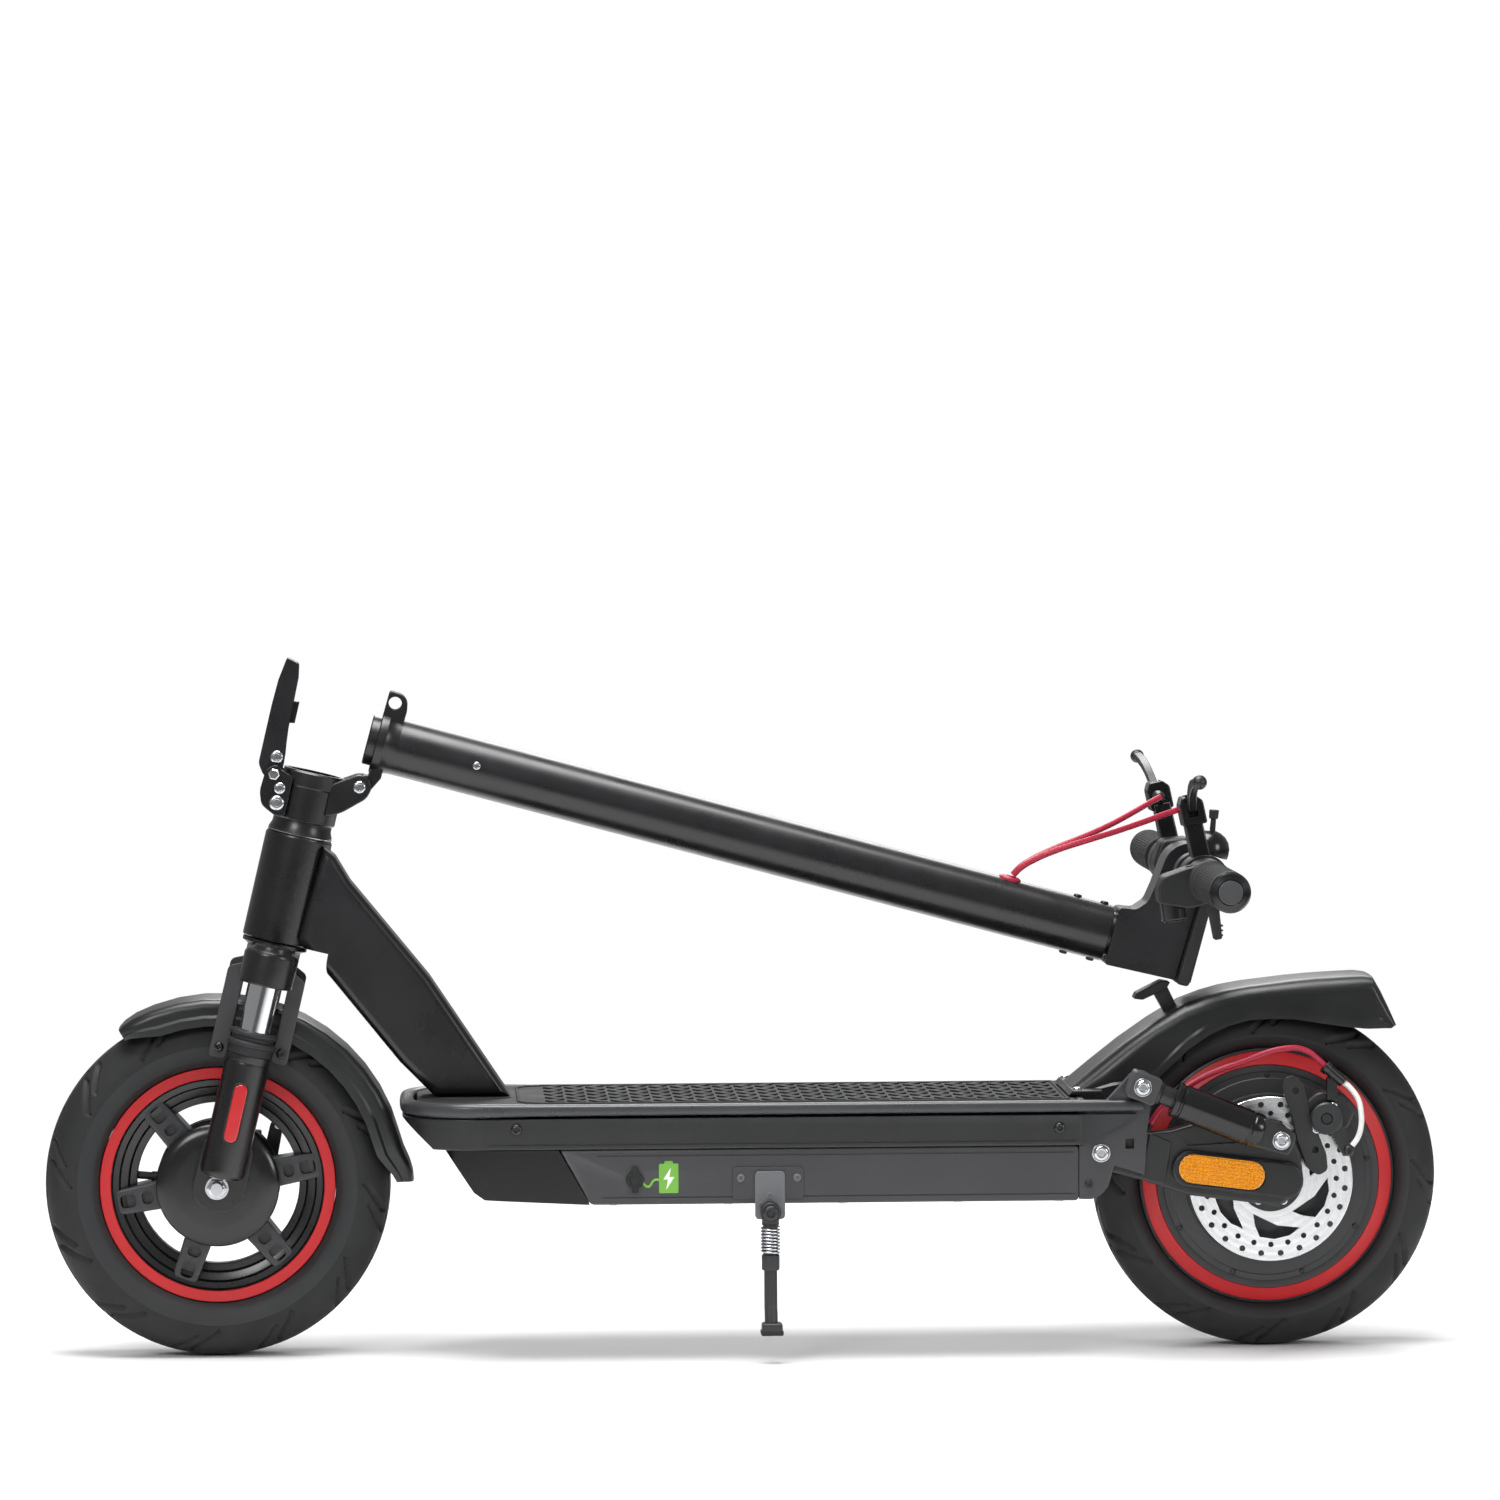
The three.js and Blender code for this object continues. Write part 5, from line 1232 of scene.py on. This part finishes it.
# The rings are drawn 0.9 mm apart, where real grinding marks are finer than the eye sees.
rings = add(tree, "ShaderNodeTexWave", {"wave_type": "RINGS", "rings_direction": "Y"}, {
    "Vector": spot, "Scale": 1000 / 0.9 / 20, "Distortion": 0.6, "Detail": 2.0,
    "Detail Scale": 3.0}).outputs["Fac"]
mottle = add(tree, "ShaderNodeTexNoise", {}, {"Vector": spot, "Scale": 90.0}).outputs["Fac"]
shader = tree.nodes["Principled BSDF"]
shader.inputs["Metallic"].default_value = 1.0
tree.links.new(add(tree, "ShaderNodeMix", {"data_type": "RGBA"}, {
    0: mottle, 6: linear(0xe2e4e6), 7: linear(0xf0f1f2)}).outputs[2],
    shader.inputs["Base Color"])
tree.links.new(add(tree, "ShaderNodeMapRange", {}, {
    "Value": rings, "To Min": 0.2, "To Max": 0.34}).outputs["Result"],
    shader.inputs["Roughness"])
tree.links.new(add(tree, "ShaderNodeBump", {}, {
    "Height": rings, "Strength": 0.25, "Distance": 0.00003}).outputs["Normal"],
    shader.inputs["Normal"])

disc = turned([(24.5, -52.4), (61.6, -52.4), (62, -52), (62, -50.4), (61.6, -50),
               (24.5, -50)], REAR_HUB, sides=144)
window = [(r * cos(radians(a)), -r * sin(radians(a))) for r, a in (
    (29.5, 57), (37, 49), (44.5, 41), (45.5, 27), (45, 12), (43, -1), (35.5, 22))]
windows = together(*[moved(slab(window, -60, -40), Matrix.Translation(REAR_HUB)
                           @ Matrix.Rotation(radians(60 * k), 4, "Y")) for k in range(6)])
holes = []
for k in range(24):
    for r, shift, size in ((49.5, 0, 2.1), (56.5, 7.5, 2.3)):
        a = radians(15 * k + shift)
        spot_x, spot_z = HALF_BASE + r * cos(a), WHEEL_R + r * sin(a)
        holes.append(across(spot_x, spot_z, -60, -40, size, sides=14))
disc = cut(disc, windows, together(*holes))
carrier = turned([(7.5, -52.4), (24, -52.4), (24.6, -51.8), (24.6, -50.4), (22, -50),
                  (22, -38.3), (7.5, -38.3)], REAR_HUB, sides=72)
disc_bolts = [bolt((HALF_BASE + 19 * cos(radians(a)), -52.2, WHEEL_R + 19 * sin(radians(a))),
                   (0, -1, 0), 3.2, 1.8) for a in range(0, 360, 60)]
piece("brake_disc_drilled", "rear_wheel",
      [(disc, disc_steel), (carrier, dark_casting)] + [(b, bright_steel) for b in disc_bolts],
      ["brake_disc"])

# ---- Rear brake ------------------------------------------------------------------
# A cable-pulled caliper on an adapter plate. Its arm turns on a round boss, and the
# cable comes up from the frame, through an adjuster, and down to the arm's end.
ARM_TURN = (435.5, 177.4)
caliper = slab([(418, 164), (436, 166.6), (452, 168), (458, 182), (450, 196), (430, 197),
                (418, 188)], -68, -42, 2.4, 4)
caliper = cut(caliper, across(HALF_BASE, WHEEL_R, -53.8, -48.8, 64,
                           sides=96), block(430, 447, -50, -40, 180, 200))
adapter = slab([(402, 200), (404, 208), (412, 210), (419, 203), (424, 180), (436, 150),
                (437, 138), (430, 134), (421, 140), (414, 160), (408, 185)],
               -70.5, -66, 0.8, 2.4)
adapter = cut(adapter, across(412.6, 198, -80, -60, 2.6),
              across(427.5, 153.5, -80, -60, 2.6))
anchor = together(bar((434.6, -70, 216.7), (437.6, -70, 214.1), 5.4, edge=0.6, sides=24),
                  bar((437.2, -70, 214.4), (449, -70, 204.2), 4.3, edge=0.5, sides=24),
                  block(436, 444, -72, -64, 190, 208, 1.2))
arm_boss = together(across(*ARM_TURN, -71, -67, 10.4, edge=0.6),
                    across(*ARM_TURN, -76.4, -67, 4, edge=0.5))
caliper_bolts = [bolt((x, -70.4, z), (0, -1, 0), 3.4, 2) for x, z in ((428, 169), (441, 186))]
piece("brake_caliper_body", "swingarm",
      [(caliper, dark_casting), (adapter, dark_casting), (anchor, black_paint),
       (arm_boss, dark_casting)] + [(b, bright_steel) for b in caliper_bolts],
      ["brake_caliper"])
pull = slab([(430, 171), (437, 170.5), (448, 149), (455, 149), (457, 155), (443, 180),
             (436, 184), (429, 181)], -75.4, -71.3, 0.8)
pull = cut(pull, across(*ARM_TURN, -80, -60, 4.4))
pull_cap = turned([(4.5, -77.2), (11, -77.2), (12.2, -76.2), (12.2, -75.2), (4.5, -75.2)],
                  (ARM_TURN[0], 0, ARM_TURN[1]), sides=48)
pull_bolt = bolt((452, -75.3, 153.4), (0, -1, 0), 3.8, 2.6)
piece("caliper_arm_forged", "disc_arm",
      [(pull, dark_casting), (pull_cap, dark_casting), (pull_bolt, black_paint)],
      ["caliper_arm"])
rear_route = [(303, -74, 174.5), (311, -74, 186), (340, -75, 208), (370, -77, 220),
              (407, -74, 230.5), (421, -71, 228), (430, -70, 221.2), (435.2, -70, 216.3)]
casing("brake_cable_rear", "swingarm", rear_route, ["rear_cable"])
# Silicone sleeve over the bare wire: milky white and soft.
silicone = coating("silicone_sleeve_white", 0xd9dad6, 0xe4e5e1, 0.4, 1.0, 0.01)
sleeve = sweep([(448, -70.2, 205), (454, -72.6, 199.6), (459.4, -76, 191), (461, -79, 181),
                (460.6, -80.2, 171), (458, -80.3, 163), (454, -80.3, 157.4)], 2.1)
piece("caliper_cable_sleeve", "swingarm", [(sleeve, silicone)], ())

# ---- Shocks ----------------------------------------------------------------------
# A small coil-in-tube shock on each side: a grey rod with a square eye at the rear
# plate, sliding in a black body whose rear eye is on the swingarm's stud.
SHOCK_Y = 96
shock_long = hypot(SHOCK_LOW[0] - SHOCK_TOP[0], SHOCK_LOW[1] - SHOCK_TOP[1])
shock_turn = atan2(SHOCK_LOW[1] - SHOCK_TOP[1], SHOCK_LOW[0] - SHOCK_TOP[0])
for side, y in (("left", -SHOCK_Y), ("right", SHOCK_Y)):
    along = Matrix.Translation((SHOCK_TOP[0], y, SHOCK_TOP[1])) @ Matrix.Rotation(
        -shock_turn, 4, "Y")
    eye_block = cut(slab([(-10, -10.5), (13, -10.5), (13, 10.5), (-10, 10.5)], -10, 10,
                         1.6, 3), across(0, 0, -20, 20, 5.2))
    rod = turned([(0, 12), (8.5, 12), (8.5, 15), (7.6, 16), (7.6, 68), (0, 68)], axis="X",
                 sides=48)
    piece(f"shock_rod_{side}_eye", "shock_rods",
          [(eye_block, grey_paint), (rod, dark_casting)], [f"shock_rod_{side}"], along)
    can = turned([(8.8, 26), (12.4, 26), (13.4, 27), (13.4, 30.4), (12.6, 31.2), (12.6, 32.4),
                  (13.4, 33.2), (13.4, 86), (12.8, 86.8), (12.8, 88), (13.4, 88.8),
                  (13.4, 93.6), (11.6, 96.6), (0, 97), (0, 84), (8.8, 84)], axis="X", sides=72)
    tail = slab([(92, -11.6), (shock_long + 10, -9), (shock_long + 10, 9), (92, 11.6)],
                -9.5, 9.5, 1.8, 4)
    tail = cut(tail, across(shock_long, 0, -20, 20, 5.9))
    piece(f"shock_body_{side}_can", "shock_bodies",
          [(can, gloss_paint), (tail, dark_casting)], [f"shock_body_{side}"], along)

# ---- Kickstand -------------------------------------------------------------------
# A cast bracket screwed to the tray's left side, with a sprung leg that folds back
# along the deck. A coil spring wraps the top of the leg.
STAND_TURN = (16.5, 113)
LEG_Y_MID = -96.3
# Pressed steel under a lighter grey coat.
light_paint = coating("coated_pressed_steel_grey", 0x606164, 0x696a6d, 0.4, 0.8, 0.03,
                      worn=0x808184)
backing = slab([(-11, 122), (42, 122), (42, 146), (-11, 146)], -86.4, -85.1, 0.5, 3)
cheek = slab([(5.5, 107), (28, 107), (28, 143), (5.5, 143)], -88.6, -85.3, 1, 3)
stand_pin = together(across(*STAND_TURN, -104, -88, 3),
                     bolt((16.5, -103.9, 113), (0, -1, 0), 5.8, 2.5))
stand_bolts = [bolt((x, y, z), (0, -1, 0), 3, 1.6)
               for x, y, z in ((-5, -86.3, 138), (37, -86.3, 138), (16.6, -87.3, 124.6),
                               (10.4, -87.3, 117.6))]
piece("kickstand_bracket_cast", "frame",
      [(backing, grey_paint), (cheek, light_paint), (stand_pin, dark_casting)]
      + [(b, light_paint) for b in stand_bolts], ["kickstand_bracket"])
stand_eye = cut(across(*STAND_TURN, -103.5, -89, 8, edge=1),
                across(*STAND_TURN, -110, -80, 3.3))
leg = turned([(0, 109.2), (6.4, 109.2), (6.6, 104), (5.6, 103.4), (5.6, 82), (6.6, 81.4),
              (6.8, 80.6), (6.8, 71), (6.2, 70), (5, 69.6), (5, 40), (0, 40)],
             (STAND_TURN[0], LEG_Y_MID, 0), "Z", 48)
shank = bar((STAND_TURN[0], LEG_Y_MID, 44), (16.7, -98.5, 30), 5)
coil = sweep([(STAND_TURN[0] + 6.5 * cos(k * pi / 5), LEG_Y_MID + 6.5 * sin(k * pi / 5),
               102.4 - 19.4 * k / 80) for k in range(81)], 0.8)
foot = block(9.5, 25, -106, -91, 21.8, 31, 2)
pad = block(8.9, 25.6, -106.6, -90.4, 21.6, 25.6, 1.2)
piece("kickstand_leg_sprung", "kickstand",
      [(stand_eye, dark_casting), (leg, dark_casting), (shank, dark_casting),
       (coil, bright_steel), (foot, dark_casting), (pad, mat_rubber)], ["kickstand_leg"])
